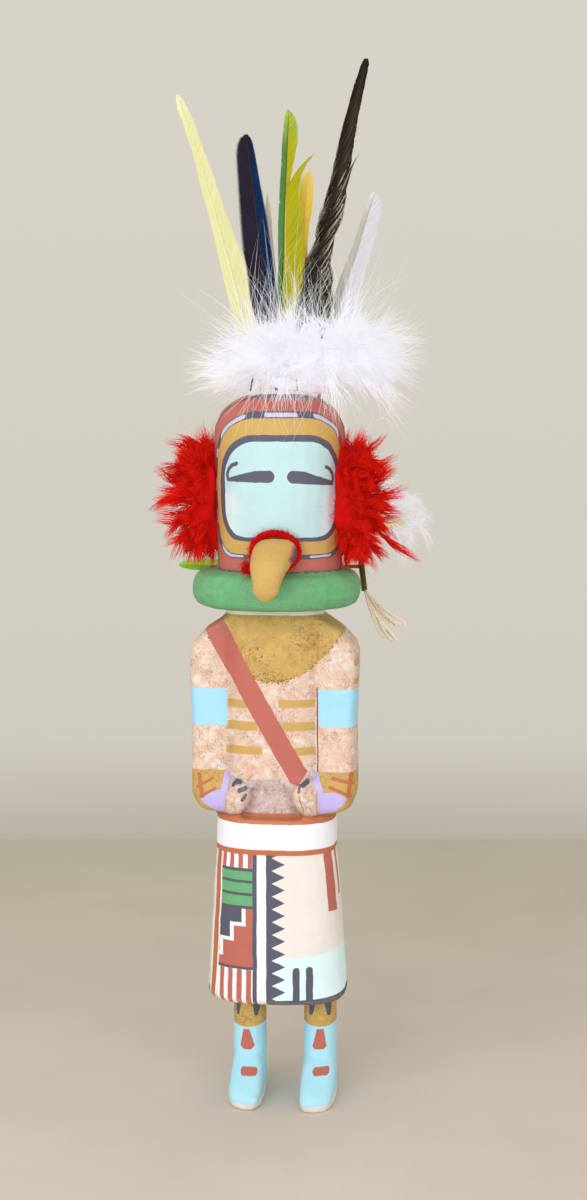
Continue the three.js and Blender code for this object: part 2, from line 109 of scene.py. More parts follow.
colours = {
    "turquoise": paint(186, 220, 222),
    "slate": paint(87, 88, 104),
    "ochre": paint(200, 164, 92),
    "red": paint(188, 105, 92),
    "rust": paint(190, 112, 74),
    "green": paint(104, 172, 119),
    "lavender": paint(196, 182, 236),
    "dash": paint(196, 196, 218),
    "cream": paint(232, 226, 221),
    "white": paint(240, 242, 247),
    "flesh": paint(227, 199, 178),
    "rose": paint(214, 170, 152),
    "belly": paint(203, 181, 177),
    "sky": paint(165, 221, 244),
    "boot": paint(170, 225, 242),
    "pale": paint(220, 246, 250),
    "fleck": paint(96, 58, 40),
}


def plug(tree, value, place):
    if isinstance(value, Field):
        tree.links.new(value.socket, place)
    else:
        place.default_value = value


class Field:  # a number or a colour that varies over a surface: a socket of a node tree
    def __init__(self, tree, socket):
        self.tree = tree
        self.socket = socket

    def math(self, operation, *others, clamp=False):
        node = self.tree.nodes.new("ShaderNodeMath")
        node.operation = operation
        node.use_clamp = clamp
        for place, value in zip(node.inputs, (self, *others)):
            plug(self.tree, value, place)
        return Field(self.tree, node.outputs[0])

    def clamped(self, scale=1.0, offset=0.0):
        return self.math("MULTIPLY_ADD", scale, offset, clamp=True)

    def __add__(self, other):
        return self.math("ADD", other)

    def __sub__(self, other):
        return self.math("SUBTRACT", other)

    def __mul__(self, other):
        return self.math("MULTIPLY", other)

    def __abs__(self):
        return self.math("ABSOLUTE")


def least(first, *others):
    for other in others:
        first = first.math("MINIMUM", other)
    return first


def most(first, *others):
    for other in others:
        first = first.math("MAXIMUM", other)
    return first


def rounded(first, second, radius):  # the part that two shapes share, with its corners rounded
    outFirst, outSecond = (most(shape * -1 + radius, 0.0).math("POWER", 2.0) for shape in (first, second))
    return (outFirst + outSecond).math("SQRT") * -1 + radius


def vectorMath(tree, operation, *values):
    node = tree.nodes.new("ShaderNodeVectorMath")
    node.operation = operation
    places = node.inputs
    if operation == "SCALE":
        places = (node.inputs[0], node.inputs["Scale"])
    for place, value in zip(places, values):
        plug(tree, value, place)
    single = operation in ("DOT_PRODUCT", "LENGTH", "DISTANCE")
    return Field(tree, node.outputs["Value" if single else "Vector"])


def parts(field):
    node = field.tree.nodes.new("ShaderNodeSeparateXYZ")
    field.tree.links.new(field.socket, node.inputs[0])
    return [Field(field.tree, output) for output in node.outputs]


def attribute(tree, name):
    node = tree.nodes.new("ShaderNodeAttribute")
    node.attribute_name = name
    return Field(tree, node.outputs["Vector"])


def objectPlace(tree, scale=(1000, 1000, 1000)):  # in millimetres
    place = tree.nodes.new("ShaderNodeTexCoord")
    mapping = tree.nodes.new("ShaderNodeMapping")
    mapping.inputs["Scale"].default_value = scale
    tree.links.new(place.outputs["Object"], mapping.inputs["Vector"])
    return Field(tree, mapping.outputs["Vector"])


def noise(place, size, detail=2.0, distortion=0.0, roughness=0.55):
    node = place.tree.nodes.new("ShaderNodeTexNoise")
    place.tree.links.new(place.socket, node.inputs["Vector"])
    node.inputs["Scale"].default_value = 1 / size
    node.inputs["Detail"].default_value = detail
    node.inputs["Distortion"].default_value = distortion
    node.inputs["Roughness"].default_value = roughness
    return Field(place.tree, node.outputs["Fac"])


def between(field, low, high):  # 0 at low, 1 at high
    node = field.tree.nodes.new("ShaderNodeMapRange")
    field.tree.links.new(field.socket, node.inputs["Value"])
    node.inputs["From Min"].default_value = low
    node.inputs["From Max"].default_value = high
    return Field(field.tree, node.outputs["Result"])


def blend(share, under, over, way="MIX"):
    tree = share.tree if isinstance(share, Field) else over.tree
    node = tree.nodes.new("ShaderNodeMix")
    node.data_type = "RGBA"
    node.blend_type = way
    plug(tree, share, node.inputs[0])
    plug(tree, under, node.inputs[6])
    plug(tree, over, node.inputs[7])
    return Field(tree, node.outputs[2])


def dimmed(colour, light):
    return blend(1.0, colour, vectorMath(light.tree, "SCALE", (1, 1, 1), light), "MULTIPLY")


def newMaterial(name, roughness=0.6, specular=0.35):
    material = bpy.data.materials.new(name)
    material.use_nodes = True
    shader = material.node_tree.nodes["Principled BSDF"]
    shader.inputs["Roughness"].default_value = roughness
    shader.inputs["Specular IOR Level"].default_value = specular
    return material, material.node_tree, shader


class Board:  # a painted surface: its two coordinates in millimetres and the colour laid on it so far
    def __init__(self, tree, ground, wobble=0.45, wobbleSize=3.2, edge=0.16):
        place = attribute(tree, "paint")
        waver = noise(place, wobbleSize, 2.0)
        shift = vectorMath(tree, "SCALE", vectorMath(tree, "SUBTRACT", waver, (0.5, 0.5, 0.5)), wobble)
        self.tree = tree
        self.bare = place
        self.place = vectorMath(tree, "ADD", place, shift)
        self.u, self.v, self.w = parts(self.place)
        self.colour = ground
        self.edge = edge

    def lay(self, inside, colour, edge=None):  # inside is the distance into the shape
        mask = inside.clamped(1 / (edge or self.edge), 0.5)
        self.colour = blend(mask, self.colour, colour)
        return mask

    def box(self, left, right, low, high):
        across = abs(self.u - (left + right) / 2) * -1 + (right - left) / 2
        upward = abs(self.v - (low + high) / 2) * -1 + (high - low) / 2
        return least(across, upward)

    def frame(self, middle, half, low, high, roundTop, roundLow):  # an upright rounded frame
        level = (low + high) / 2
        isTop = self.v.math("GREATER_THAN", level)
        radius = isTop.math("MULTIPLY_ADD", roundTop - roundLow, roundLow)
        outX = abs(self.u - middle) - half + radius
        outY = abs(self.v - level) - (high - low) / 2 + radius
        corner = (most(outX, 0.0).math("POWER", 2.0) + most(outY, 0.0).math("POWER", 2.0)).math("SQRT")
        return radius - corner - least(most(outX, outY), 0.0)

    def stroke(self, start, end, half, halfEnd=None):  # a brush stroke with round ends
        run = np.subtract(end, start)
        flat = vectorMath(self.tree, "MULTIPLY", self.place, (1, 1, 0))
        offset = vectorMath(self.tree, "SUBTRACT", flat, (*start, 0))
        along = vectorMath(self.tree, "DOT_PRODUCT", offset, (*(run / run.dot(run)), 0))
        share = along.clamped()
        nearest = vectorMath(self.tree, "SCALE", (*run, 0), share)
        width = share.math("MULTIPLY_ADD", (halfEnd or half) - half, half)
        return width - vectorMath(self.tree, "DISTANCE", offset, nearest)

    def path(self, points, half):
        return most(*[self.stroke(a, b, half) for a, b in zip(points, points[1:])])

    def patch(self, corners):  # a convex patch, corners counterclockwise
        sides = []
        for (x0, y0), (x1, y1) in zip(corners, corners[1:] + corners[:1]):
            inward = np.array([y0 - y1, x1 - x0]) / math.hypot(x1 - x0, y1 - y0)
            along = vectorMath(self.tree, "DOT_PRODUCT", self.place, (*inward, 0))
            sides.append(along - float(inward.dot((x0, y0))))
        return least(*sides)

    def strokes(self, rows, inside, colour):  # strokes that show only inside a region
        for row in rows:
            self.lay(least(self.stroke(*row), inside), colour)

    def patches(self, rows, inside, colour):
        for corners in rows:
            self.lay(least(self.patch(corners), inside), colour)

    def mottle(self, mask, tones, size):  # sponged tones, one over the other
        for index, (tone, amount) in enumerate(tones):
            cloud = noise(self.bare, size / (1 + 0.6 * index), 4.0, 0.6, 0.65)
            self.colour = blend(between(cloud, 0.5, 0.62) * mask * amount, self.colour, tone)

    def fleck(self, mask, size, amount, colour=colours["fleck"]):  # short dark scratches and pits
        worm = abs(noise(self.bare, size, 3.0, 1.4) - 0.5)
        cluster = between(noise(self.bare, 6 * size, 2.0), 0.47, 0.55)
        broken = between(noise(self.bare, 0.7 * size, 1.0), 0.47, 0.53)
        thin = between(worm, 0.034, 0.012)
        self.colour = blend(thin * cluster * broken * mask * amount, self.colour, colour)


finish = {
    "tone": 0.06, "toneSize": 9.0, "streak": 0.03, "streakSize": 1.1, "streakScale": (260, 260, 2600),
    "grainSize": 0.42, "grainShare": 0.5, "wear": 0.25, "wornFrom": (0.86, 1.1), "wood": paint(214, 190, 158),
    # the groove entries paint shade into the grooves: a grey brown laid where the surface dips
    "groove": 0.25, "grooveShadeFrom": (0.28, 0.02), "grooveShadeColour": paint(110, 82, 66), "roughness": 0.5,
    "roughnessSpread": 0.2, "bump": 0.3, "bumpDepth": 0.4, "streakRelief": 0.5, "grainRelief": 0.35,
    "coarseRelief": 2.4,
}


def finishPaint(board, shader, coarse=None):  # brush marks, uneven tone, worn edges and painted shade in the grooves
    tree = board.tree
    place = objectPlace(tree)
    tone = noise(place, finish["toneSize"], 3.0)
    streak = noise(objectPlace(tree, finish["streakScale"]), finish["streakSize"], 3.0)
    grain = noise(place, finish["grainSize"], 3.0)
    light = tone.math("MULTIPLY_ADD", 2 * finish["tone"], 1 - finish["tone"])
    light = light + streak.math("MULTIPLY_ADD", 2 * finish["streak"], -finish["streak"])
    colour = dimmed(board.colour, light)
    wearAndShade = parts(attribute(tree, "wearAndShade"))[0]
    rubbed = between(wearAndShade + (grain - 0.5) * finish["grainShare"], *finish["wornFrom"]) * finish["wear"]
    colour = blend(rubbed, colour, finish["wood"])
    # painted shade: the grooves darkened towards a grey brown
    grooveShadeMask = between(wearAndShade, *finish["grooveShadeFrom"]) * finish["groove"]
    colour = blend(grooveShadeMask, colour, finish["grooveShadeColour"])
    tree.links.new(colour.socket, shader.inputs["Base Color"])
    rough = tone.math("MULTIPLY_ADD", finish["roughnessSpread"], finish["roughness"])
    tree.links.new(rough.socket, shader.inputs["Roughness"])
    relief = streak * finish["streakRelief"] + grain * finish["grainRelief"]
    if coarse is not None:
        relief = relief + coarse * noise(place, 1.3, 4.0, 0.8, 0.7) * finish["coarseRelief"]
    bump = tree.nodes.new("ShaderNodeBump")
    bump.inputs["Strength"].default_value = finish["bump"]
    bump.inputs["Distance"].default_value = finish["bumpDepth"] * mm
    tree.links.new(relief.socket, bump.inputs["Height"])
    tree.links.new(bump.outputs["Normal"], shader.inputs["Normal"])


# The mask: frames one inside another round the face
maskPaint = {
    "middle": 2.9,
    "frames": [  # half width, low, high, upper and lower corner, colour
        (33.0, 186.4, 246.6, 17.0, 9.0, "slate"),
        (31.8, 187.6, 245.3, 16.0, 8.0, "red"),
        (29.4, 191.7, 240.9, 20.0, 11.0, "slate"),
        (27.3, 193.3, 238.6, 18.0, 10.0, "ochre"),
        (24.5, 197.6, 233.1, 15.5, 10.5, "slate"),
        (21.8, 199.0, 230.9, 13.0, 9.0, "turquoise"),
    ],
    "dashes": [  # pale dashes in the wide slate frame: left, right, low, high
        (-21.5, -10.9, 214, 250), (-3.4, 9.2, 214, 250), (15.4, 27.0, 214, 250), (-40, 45, 225.2, 228.4),
        (-40, 45, 214, 219), (-22.3, -11.0, 180, 200), (13.3, 23.4, 180, 200), (-40, 45, 203, 208),
    ],
    "dashInset": (0.45, 0.4),
    "dashCorner": 0.6,
    "eyes": [
        ((-17.2, 218.1), (-6.0, 219.25), 0.55, 2.0),
        ((-6.0, 219.25), (-1.4, 219.3), 2.0, 2.05),
        ((7.0, 219.2), (10.5, 218.9), 2.1, 2.05),
        ((10.5, 218.9), (21.4, 217.0), 2.05, 0.8),
    ],
    "curls": [
        [(-17.3, 218.2), (-17.4, 220.0), (-16.6, 221.7), (-15.2, 222.9), (-13.2, 223.6)],
        [(22.2, 216.8), (22.7, 218.3), (22.4, 220.1), (20.9, 221.7), (19.3, 222.4)],
    ],
    "curlHalf": 0.66,
    "crownFrom": 246.2,
    "framesTo": 247.1,
    "paleCheeks": {"across": (13.0, 21.0), "height": (217.0, 211.0), "share": 0.6},
    "crownStrokes": {"x": (-10.2, 14.5), "half": 0.5, "from": 246.6},
    "ruffTop": 187.2,
    "ruffWaver": {"size": 1.4, "depth": 1.8},
}
ruffPaint = {
    "tones": [(paint(130, 194, 144), 0.3), (paint(92, 160, 104), 0.3)], "toneSize": 7.0,
    "specks": paint(54, 108, 64), "speckSize": 0.8, "speckShare": 0.6,
}


def paintRuff(board, mask):
    board.mottle(mask, ruffPaint["tones"], ruffPaint["toneSize"])
    board.fleck(mask, ruffPaint["speckSize"], ruffPaint["speckShare"], ruffPaint["specks"])


def maskMaterial(settings):
    material, tree, shader = newMaterial("mask_paint")
    board = Board(tree, colours["rust"])
    board.lay(board.v - settings["crownFrom"], colours["cream"])
    middle = settings["middle"]
    shapes = [board.frame(middle, *row[:5]) for row in settings["frames"]]
    belowTop = board.v * -1 + settings["framesTo"]
    for row, shape in zip(settings["frames"], shapes):
        board.lay(least(shape, belowTop), colours[row[5]])
    cheeks = settings["paleCheeks"]
    paleSide = between(abs(board.u - middle), *cheeks["across"]) * between(board.v, *cheeks["height"])
    onFace = shapes[5].clamped(6.0, 0.5)
    board.colour = blend(paleSide * onFace * cheeks["share"], board.colour, colours["white"])
    outer, inner = settings["dashInset"]
    band = least(shapes[2] - outer, shapes[3] * -1 - inner)
    for sides in settings["dashes"]:
        board.lay(rounded(band, board.box(*sides), settings["dashCorner"]), colours["dash"])
    for eye in settings["eyes"]:
        board.lay(board.stroke(*eye), colours["slate"])
    for curl in settings["curls"]:
        board.lay(board.path(curl, settings["curlHalf"]), colours["slate"])
    side, _, height = parts(objectPlace(tree))
    strokes = settings["crownStrokes"]
    for x in strokes["x"]:
        across = abs(side - (x + axisPoint[0] / mm)) * -1 + strokes["half"]
        board.lay(least(across, height - strokes["from"]), colours["slate"])
    waver = settings["ruffWaver"]
    ragged = (noise(board.bare, waver["size"], 2.0) - 0.5) * waver["depth"]
    ruff = board.v * -1 + settings["ruffTop"]
    paintRuff(board, board.lay(ruff + ragged, colours["green"]))
    finishPaint(board, shader)
    return material


# Torso, arms and ruff are painted by x and z
bodyPaint = {
    "handFront": 15.4,
    "handTips": 103.2,  # under this height the hands touch the rust line and take its paint
    "front": 3.0,  # the marks of the front lie this far before the axis
    "skinTones": [(colours["rose"], 0.75), (colours["cream"], 0.8), (paint(224, 178, 150), 0.5)],
    "belly": {"middle": -1.6, "half": 15.2, "low": 101.0, "high": 115.3},
    "bellyTones": [(paint(160, 134, 132), 0.75), (paint(222, 204, 198), 0.7)],
    "handTop": 116.0,
    "handTones": [(colours["belly"], 0.7), (paint(196, 140, 122), 0.55)],
    "yoke": {"middle": -1.0, "dip": 0.03, "low": 148.9, "rim": 0.9},
    "yokeTones": [(paint(196, 152, 78), 0.4), (paint(222, 184, 110), 0.5)],
    "arms": (-17.0, 14.35),  # further out than these x
    "armBand": (133.5, 146.5),
    "forearms": (-17.0, 14.0),
    "forearmTop": 117.9,
    "touches": [(26.5, 40, 154.6, 157.0), (26.5, 40, 148.2, 150.3)],  # of ochre on the left arm
    "collar": 171.7,
    # the collar's cream at full brightness: its own pale colour, lifted as painted light against the shade
    # under the ruff
    "collarWhite": paint(255, 251, 240),
    "ruffLow": 173.4,
    "beltTop": (102.2, 100.2),  # rust under the first height, white under the second
    "handRust": 10.0,
    "coarse": (102.0, 173.0),
    "sash": [(-30.5, 176.6), (4.9, 114.1), (7.6, 113.4), (10.7, 118.0), (-24.1, 180.2)],
    "ribs": [
        (-17.5, -10.0, 139.9, 142.8), (-17.5, -6.4, 132.2, 135.3), (-17.5, -4.8, 123.8, 126.7),
        (0.8, 13.3, 140.3, 143.0), (2.0, 13.3, 132.2, 135.2), (6.4, 13.3, 123.6, 126.5),
    ],
    "cuffs": [
        ((-17.0, 116.6), (-18.0, 111.2), 1.05), ((-18.0, 111.2), (-18.6, 104.0), 1.05),
        ((13.3, 116.8), (15.3, 112.0), 1.0), ((15.3, 112.0), (15.6, 104.0), 1.0),
    ],
    "points": [
        [(-26.6, 107.5), (-23.7, 105.4), (-20.9, 103.6), (-17.6, 103.4), (-19.0, 111.7), (-22.8, 110.3)],
        [(15.3, 103.4), (20.1, 104.2), (22.6, 106.3), (24.6, 108.8), (20.5, 111.2), (16.0, 111.0)],
    ],
    "brush": [
        ((-26.9, 116.2), (-25.7, 108.8), 0.75), ((-27.4, 112.0), (-22.1, 115.1), 0.5),
        ((-26.2, 108.6), (-21.1, 111.8), 0.5), ((19.5, 115.8), (25.9, 114.0), 0.6),
        ((18.6, 113.0), (25.4, 109.6), 0.6), ((25.7, 117.3), (24.7, 109.5), 0.7),
    ],
    "fingers": [
        ((-14.6, 113.5), (-13.7, 114.5), 0.65), ((-13.7, 114.5), (-12.2, 114.3), 0.65),
        ((-12.1, 111.9), (-10.4, 112.4), 0.8), ((-11.2, 108.6), (-10.2, 110.2), 0.6),
        ((9.5, 113.9), (10.8, 114.8), 0.85), ((8.1, 111.6), (8.4, 113.7), 0.45),
    ],
    "cracks": [((8.2, 110.2), (9.9, 105.0), 0.14), ((13.9, 147.0), (14.2, 118.0), 0.2)],
}


def bodyMaterial(settings):
    material, tree, shader = newMaterial("body_paint")
    board = Board(tree, colours["flesh"], wobble=0.5)
    front = board.w * -1 - settings["front"]
    ragged = (noise(board.bare, 1.1, 3.0) - 0.5) * 3.0
    board.mottle(1.0, settings["skinTones"], 5.5)
    board.fleck(1.0, 0.9, 0.9)
    board.fleck(1.0, 0.55, 0.7)
    belly, handFront = settings["belly"], settings["handFront"]
    across = abs(board.u - belly["middle"]) * -1 + belly["half"]
    # the belly's grey mauve stops at the hands' fronts, so the hands' sides take it too, as painted shade
    chest = least(across, board.v * -1 + belly["high"], board.v - belly["low"], board.w + handFront)
    bellyMask = board.lay(chest + ragged * 0.35, colours["belly"])
    board.mottle(bellyMask, settings["bellyTones"], 2.2)
    board.fleck(bellyMask, 0.5, 0.9)
    hand = least(board.w * -1 - handFront, board.v * -1 + settings["handTop"])
    handMask = hand.clamped(2.0, 0.5)
    board.mottle(handMask, settings["handTones"], 2.6)
    board.fleck(handMask, 0.6, 0.9)
    for rib in settings["ribs"]:
        board.lay(least(board.box(*rib) + ragged * 0.12, front), colours["ochre"])
    shape = settings["yoke"]
    fromMiddle = board.u - shape["middle"]
    yoke = board.v - fromMiddle * fromMiddle * shape["dip"] - shape["low"] + ragged
    yokeMask = board.lay(yoke, colours["ochre"])
    board.mottle(yokeMask, settings["yokeTones"], 6.0)
    board.fleck(yokeMask, 1.6, 0.9)
    board.fleck(yokeMask, 0.7, 0.7)
    rim = abs(yoke) * -1 + shape["rim"]
    specks = noise(board.bare, 0.5, 1.0)
    board.lay(least(rim, (specks - 0.6) * 6.0), colours["fleck"])
    left, right = settings["arms"]
    arms = most(board.u * -1 + left, board.u - right)
    board.lay(least(arms, board.box(-60, 60, *settings["armBand"])), colours["sky"])
    left, right = settings["forearms"]
    forearms = least(most(board.u * -1 + left, board.u - right), board.v * -1 + settings["forearmTop"])
    armMask = board.lay(forearms + ragged * 0.15, colours["ochre"])
    board.fleck(armMask, 0.8, 0.8)
    board.strokes(settings["cuffs"], front, colours["lavender"])
    board.patches(settings["points"], front, colours["lavender"])
    board.strokes(settings["brush"], front, colours["rust"])
    board.lay(board.patch(settings["sash"]), colours["red"])
    board.strokes(settings["fingers"], front, colours["slate"])
    board.strokes(settings["cracks"], front, colours["fleck"])
    for sides in settings["touches"]:
        board.lay(least(board.box(*sides), front + settings["front"]), colours["ochre"])
    # the collar: its own cream, lifted as painted light against the shade under the ruff
    board.lay(board.v - settings["collar"], settings["collarWhite"])
    paintRuff(board, board.lay(board.v - settings["ruffLow"], colours["green"]))
    rustTop, whiteTop = settings["beltTop"]
    board.lay(board.v * -1 + rustTop, colours["rust"])
    onHands = board.w * -1 - settings["handRust"]
    board.lay(least(onHands, board.v * -1 + settings["handTips"]), colours["rust"])
    board.lay(board.v * -1 + whiteTop, colours["white"])
    low, high = settings["coarse"]
    finishPaint(board, shader, least(board.v * -1 + high, board.v - low).clamped())
    return material


# Belt and kilt are painted by the length round them and the height
kiltPaint = {
    "belt": (89.4, 91.3, 100.2),  # rust, white and rust again start at these heights
    "mainLeft": -2.1,
    "water": {"top": 53.6, "dip": 0.0035, "edge": 0.5},
    "hem": {"top": 38.7, "dip": 0.0017, "left": -24.6},
    "teeth": {"peak": 41.6, "pitch": 4.47, "depth": 4.6, "reach": 4.5, "steepness": 0.7},
    "posts": [(8.25, 1.2, 49.2), (12.85, 1.25, 49.4)],
    "flags": [
        [(20.6, 69.0), (26.2, 68.6), (23.5, 90.0), (18.8, 90.0)],
        [(29.4, 73.1), (32.4, 72.8), (28.6, 90.0), (25.8, 90.0)],
    ],
    "panel": {"top": 88.0, "curve": 0.00087, "left": -19.1, "right": -6.8, "low": 50.0, "green": 70.6},
    "panelTrim": {"white": 5.0, "rust": (3.9, -0.8)},  # how far out from the panel's left edge
    "steps": [(-9.3, 64.3), (-13.7, 58.8), (-18.3, 53.2)],
    "stepInset": (1.5, 1.25),
    "lines": [(70.4, 71.4), (75.0, 76.0), (79.5, 80.4), (83.5, 84.6), (49.1, 50.1)],
    "bars": [(84.6, 92, -7.75, 0.85), (30, 49.1, -8.2, 0.92)],  # low, high, a bar's middle and half width
    "barPitch": 3.44,
    "seam": (-6.85, -5.35, 30, 92),
}


def kiltMaterial(settings):
    material, tree, shader = newMaterial("kilt_paint")
    board = Board(tree, colours["cream"], wobble=0.42)
    u, v = board.u, board.v
    main = u - settings["mainLeft"]
    water = settings["water"]
    board.lay(least(main, u * u * water["dip"] - v + water["top"]), colours["pale"], water["edge"])
    hem = settings["hem"]
    band = u * u * hem["dip"] - v + hem["top"]
    board.lay(least(most(main, u * -1 + hem["left"]), band), colours["slate"])
    teeth = settings["teeth"]
    half = teeth["pitch"] / 2
    tooth = (v - teeth["peak"]).math("PINGPONG", half) * (-teeth["depth"] / half) + teeth["reach"] - u
    board.lay(least(main, tooth * teeth["steepness"]), colours["slate"])
    for x, half, top in settings["posts"]:
        board.lay(board.stroke((x, 36), (x, top), half), colours["slate"])
    for corners in settings["flags"]:
        board.lay(board.patch(corners), colours["red"])
    panel, trim = settings["panel"], settings["panelTrim"]
    drop = v * -1 + panel["top"]
    edge = u + drop * drop * panel["curve"] - panel["left"]  # distance in from the panel's left edge
    board.lay(least(u * -1 + settings["mainLeft"], edge + trim["white"]), colours["white"])
    outer, inner = trim["rust"]
    board.lay(least(edge * -1 + inner, edge + outer), colours["rust"])
    inside = least(edge, u * -1 + panel["right"])
    board.lay(least(inside, v - panel["low"]), colours["red"])
    for (inset, rise), colour in (((0, 0), "white"), (settings["stepInset"], "slate")):
        steps = [least(u * -1 + (x - inset), v - (z + rise)) for x, z in settings["steps"]]
        board.lay(least(inside, most(*steps)), colours[colour])
    board.lay(least(inside, v - panel["green"]), colours["green"])
    for low, high in settings["lines"]:
        board.lay(least(inside, board.box(-40, 0, low, high)), colours["slate"])
    for low, high, middle, half in settings["bars"]:
        field = least(inside, board.box(-40, 0, low, high))
        board.lay(field, colours["white"])
        bar = (u - middle).math("PINGPONG", settings["barPitch"] / 2) * -1 + half
        board.lay(least(field, bar), colours["red"])
    board.lay(board.box(*settings["seam"]), colours["slate"])
    for low, colour in zip(settings["belt"], ("rust", "white", "rust")):
        board.lay(v - low, colours[colour])
    finishPaint(board, shader)
    return material


legPaint = {
    "tones": [(paint(190, 142, 70), 0.5), (paint(224, 190, 120), 0.5)],
    "front": 2.0,
    "bootTops": {-10.9: 24.6, 14.3: 25.6},
    "boot": {"half": 12.6, "dip": 0.035},
    "drips": [
        ((-14.2, 36.0), (-14.4, 29.3), 1.3, 0.5), ((-7.6, 36.0), (-8.0, 29.2), 2.0, 0.6),
        ((12.3, 37.0), (11.5, 30.4), 1.4, 0.7), ((17.2, 37.0), (17.8, 30.4), 1.5, 0.7),
    ],
    "tongues": [
        [(-13.6, 17.9), (-12.5, 16.5), (-9.7, 16.5), (-8.4, 17.9), (-10.4, 23.9), (-12.5, 23.8)],
        [(12.0, 18.5), (12.8, 17.4), (16.0, 17.4), (17.0, 18.6), (16.0, 24.9), (13.6, 24.8)],
    ],
    "ovals": [((-11.7, 10.5), (-7.9, 10.7), 1.15), ((13.7, 11.2), (17.2, 11.1), 1.15)],
    "soleTop": 2.2,
    "hem": 36.3,
    "coarse": {"from": 26.0, "share": 0.7},
}


def legMaterial(settings):
    material, tree, shader = newMaterial("leg_paint")
    board = Board(tree, colours["ochre"], wobble=0.4)
    board.mottle(1.0, settings["tones"], 3.0)
    board.fleck(1.0, 1.0, 1.0)
    front = board.w * -1 - settings["front"]
    board.strokes(settings["drips"], front, colours["slate"])
    boot = settings["boot"]
    for middle, top in settings["bootTops"].items():
        off = board.u - middle
        below = board.v * -1 + off * off * boot["dip"] + top
        board.lay(least(abs(off) * -1 + boot["half"], below), colours["boot"])
    board.patches(settings["tongues"], front, colours["red"])
    board.strokes(settings["ovals"], front, colours["red"])
    board.lay(board.v * -1 + settings["soleTop"], colours["cream"])
    board.lay(board.v - settings["hem"], colours["cream"])
    coarse = settings["coarse"]
    finishPaint(board, shader, (board.v - coarse["from"]).clamped() * coarse["share"])
    return material


# Carved pieces: a copy of the solid, remeshed finely, with its facets worked smooth and marks of the knife
def editWhole(piece, operation, **options):
    bpy.ops.object.select_all(action="DESELECT")
    piece.select_set(True)
    bpy.context.view_layer.objects.active = piece
    bpy.ops.object.mode_set(mode="EDIT")
    bpy.ops.mesh.select_all(action="SELECT")
    operation(**options)
    bpy.ops.object.mode_set(mode="OBJECT")


def carvedCopy(node, name, shape):
    piece = bpy.data.objects.new(name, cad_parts[node].data.copy())
    bpy.context.scene.collection.objects.link(piece)
    piece.data.materials.clear()
    editWhole(piece, bpy.ops.mesh.remove_doubles, threshold=0.002 * mm)
    remesh = piece.modifiers.new("Remesh", "REMESH")
    remesh.mode = "VOXEL"
    remesh.voxel_size = shape["voxel"] * mm
    remesh.use_smooth_shade = True
    smooth = piece.modifiers.new("Smooth", "SMOOTH")
    smooth.factor = 0.5
    smooth.iterations = shape["passes"]
    for size, depth in shape["knife"]:
        texture = bpy.data.textures.new(f"{name}_{size}", "CLOUDS")
        texture.noise_scale = size * mm
        knife = piece.modifiers.new("Displace", "DISPLACE")
        knife.texture = texture
        knife.texture_coords = "LOCAL"
        knife.mid_level = 0.5
        knife.strength = depth * mm
    for modifier in list(piece.modifiers):
        bpy.ops.object.modifier_apply(modifier=modifier.name)
    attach(piece, "root")
    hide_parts(node)
    return piece


def setAttribute(mesh, name, domain, values):
    layer = mesh.attributes.new(name, "FLOAT_VECTOR", domain)
    layer.data.foreach_set("vector", np.asarray(values, np.float32).ravel())


def wearAndShadeShare(mesh):  # how far points stand out from their neighbours: over 0.5 on edges, which take wear, and under it in grooves, which take painted shade
    count = len(mesh.vertices)
    places = pointsOf(mesh) / mm
    normals = pointsOf(mesh, "normal")
    edges = np.zeros(len(mesh.edges) * 2, int)
    mesh.edges.foreach_get("vertices", edges)
    edges = edges.reshape(-1, 2)
    ends = np.concatenate([edges[:, 0], edges[:, 1]])
    others = np.concatenate([edges[:, 1], edges[:, 0]])
    degree = np.maximum(np.bincount(ends, minlength=count), 1)

    def spread(values):
        sums = [np.bincount(ends, values[others, i], count) for i in range(values.shape[1])]
        return np.stack(sums, 1) / degree[:, None]

    smooth = places
    for _ in range(4):
        smooth = spread(smooth)
    bulge = ((places - smooth) * normals).sum(1)[:, None]
    for _ in range(2):
        bulge = spread(bulge)
    return np.clip(0.5 + bulge * 3.2, 0, 1)


figureShape = {
    "voxel": 0.79,
    "passes": 9,
    "knife": [(9.0, 0.5), (3.0, 0.16), (0.9, 0.05)],
    "levels": (181.0, 96.0, 36.3),  # the mask, body, kilt and leg paints meet at these heights
    "headRadius": 22.8,
    "waist": (41.8, 33.0, -1.1),  # width, depth and middle
    "kiltHem": (49.4, 37.0, -0.8),
    "kiltHeights": (36.5, 89.0),
    "kiltPower": 2.8,
    "kiltRatio": 1.3,  # width to depth
    "headSlope": {  # the head's width at these heights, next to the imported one's: its crown is rounded off
        184: 1.0, 191: 0.98, 212: 0.995, 229: 0.99, 236: 0.97, 240.3: 0.925, 243.9: 0.835, 246.1: 0.74,
        248.5: 0.66,
    },
}


def kiltRound(points, turn):  # length round the kilt from its front, in millimetres
    low, high = figureShape["kiltHeights"]
    share = np.clip((high - points[:, 2]) / (high - low), 0, 1)
    flare = share ** 0.9
    waist, hem = figureShape["waist"], figureShape["kiltHem"]
    halfWidth, halfDepth = ((waist[i] + (hem[i] - waist[i]) * flare) / 2 for i in range(2))
    middle = waist[2] + (hem[2] - waist[2]) * share
    angle = turn(np.arctan2((points[:, 0] - middle) / halfWidth, -points[:, 1] / halfDepth))
    steps = np.linspace(-2 * math.pi, 2 * math.pi, 2881)
    power, stretch = figureShape["kiltPower"], math.sqrt(figureShape["kiltRatio"])
    reach = (abs(np.sin(steps)) ** power + abs(np.cos(steps)) ** power) ** (-1 / power)
    outline = np.stack([stretch * reach * np.sin(steps), -reach * np.cos(steps) / stretch], 1)
    lengths = np.concatenate([[0], np.cumsum(np.linalg.norm(np.diff(outline, axis=0), axis=1))])
    lengths -= lengths[len(lengths) // 2]
    return np.interp(angle, steps, lengths) * np.sqrt(halfWidth * halfDepth)


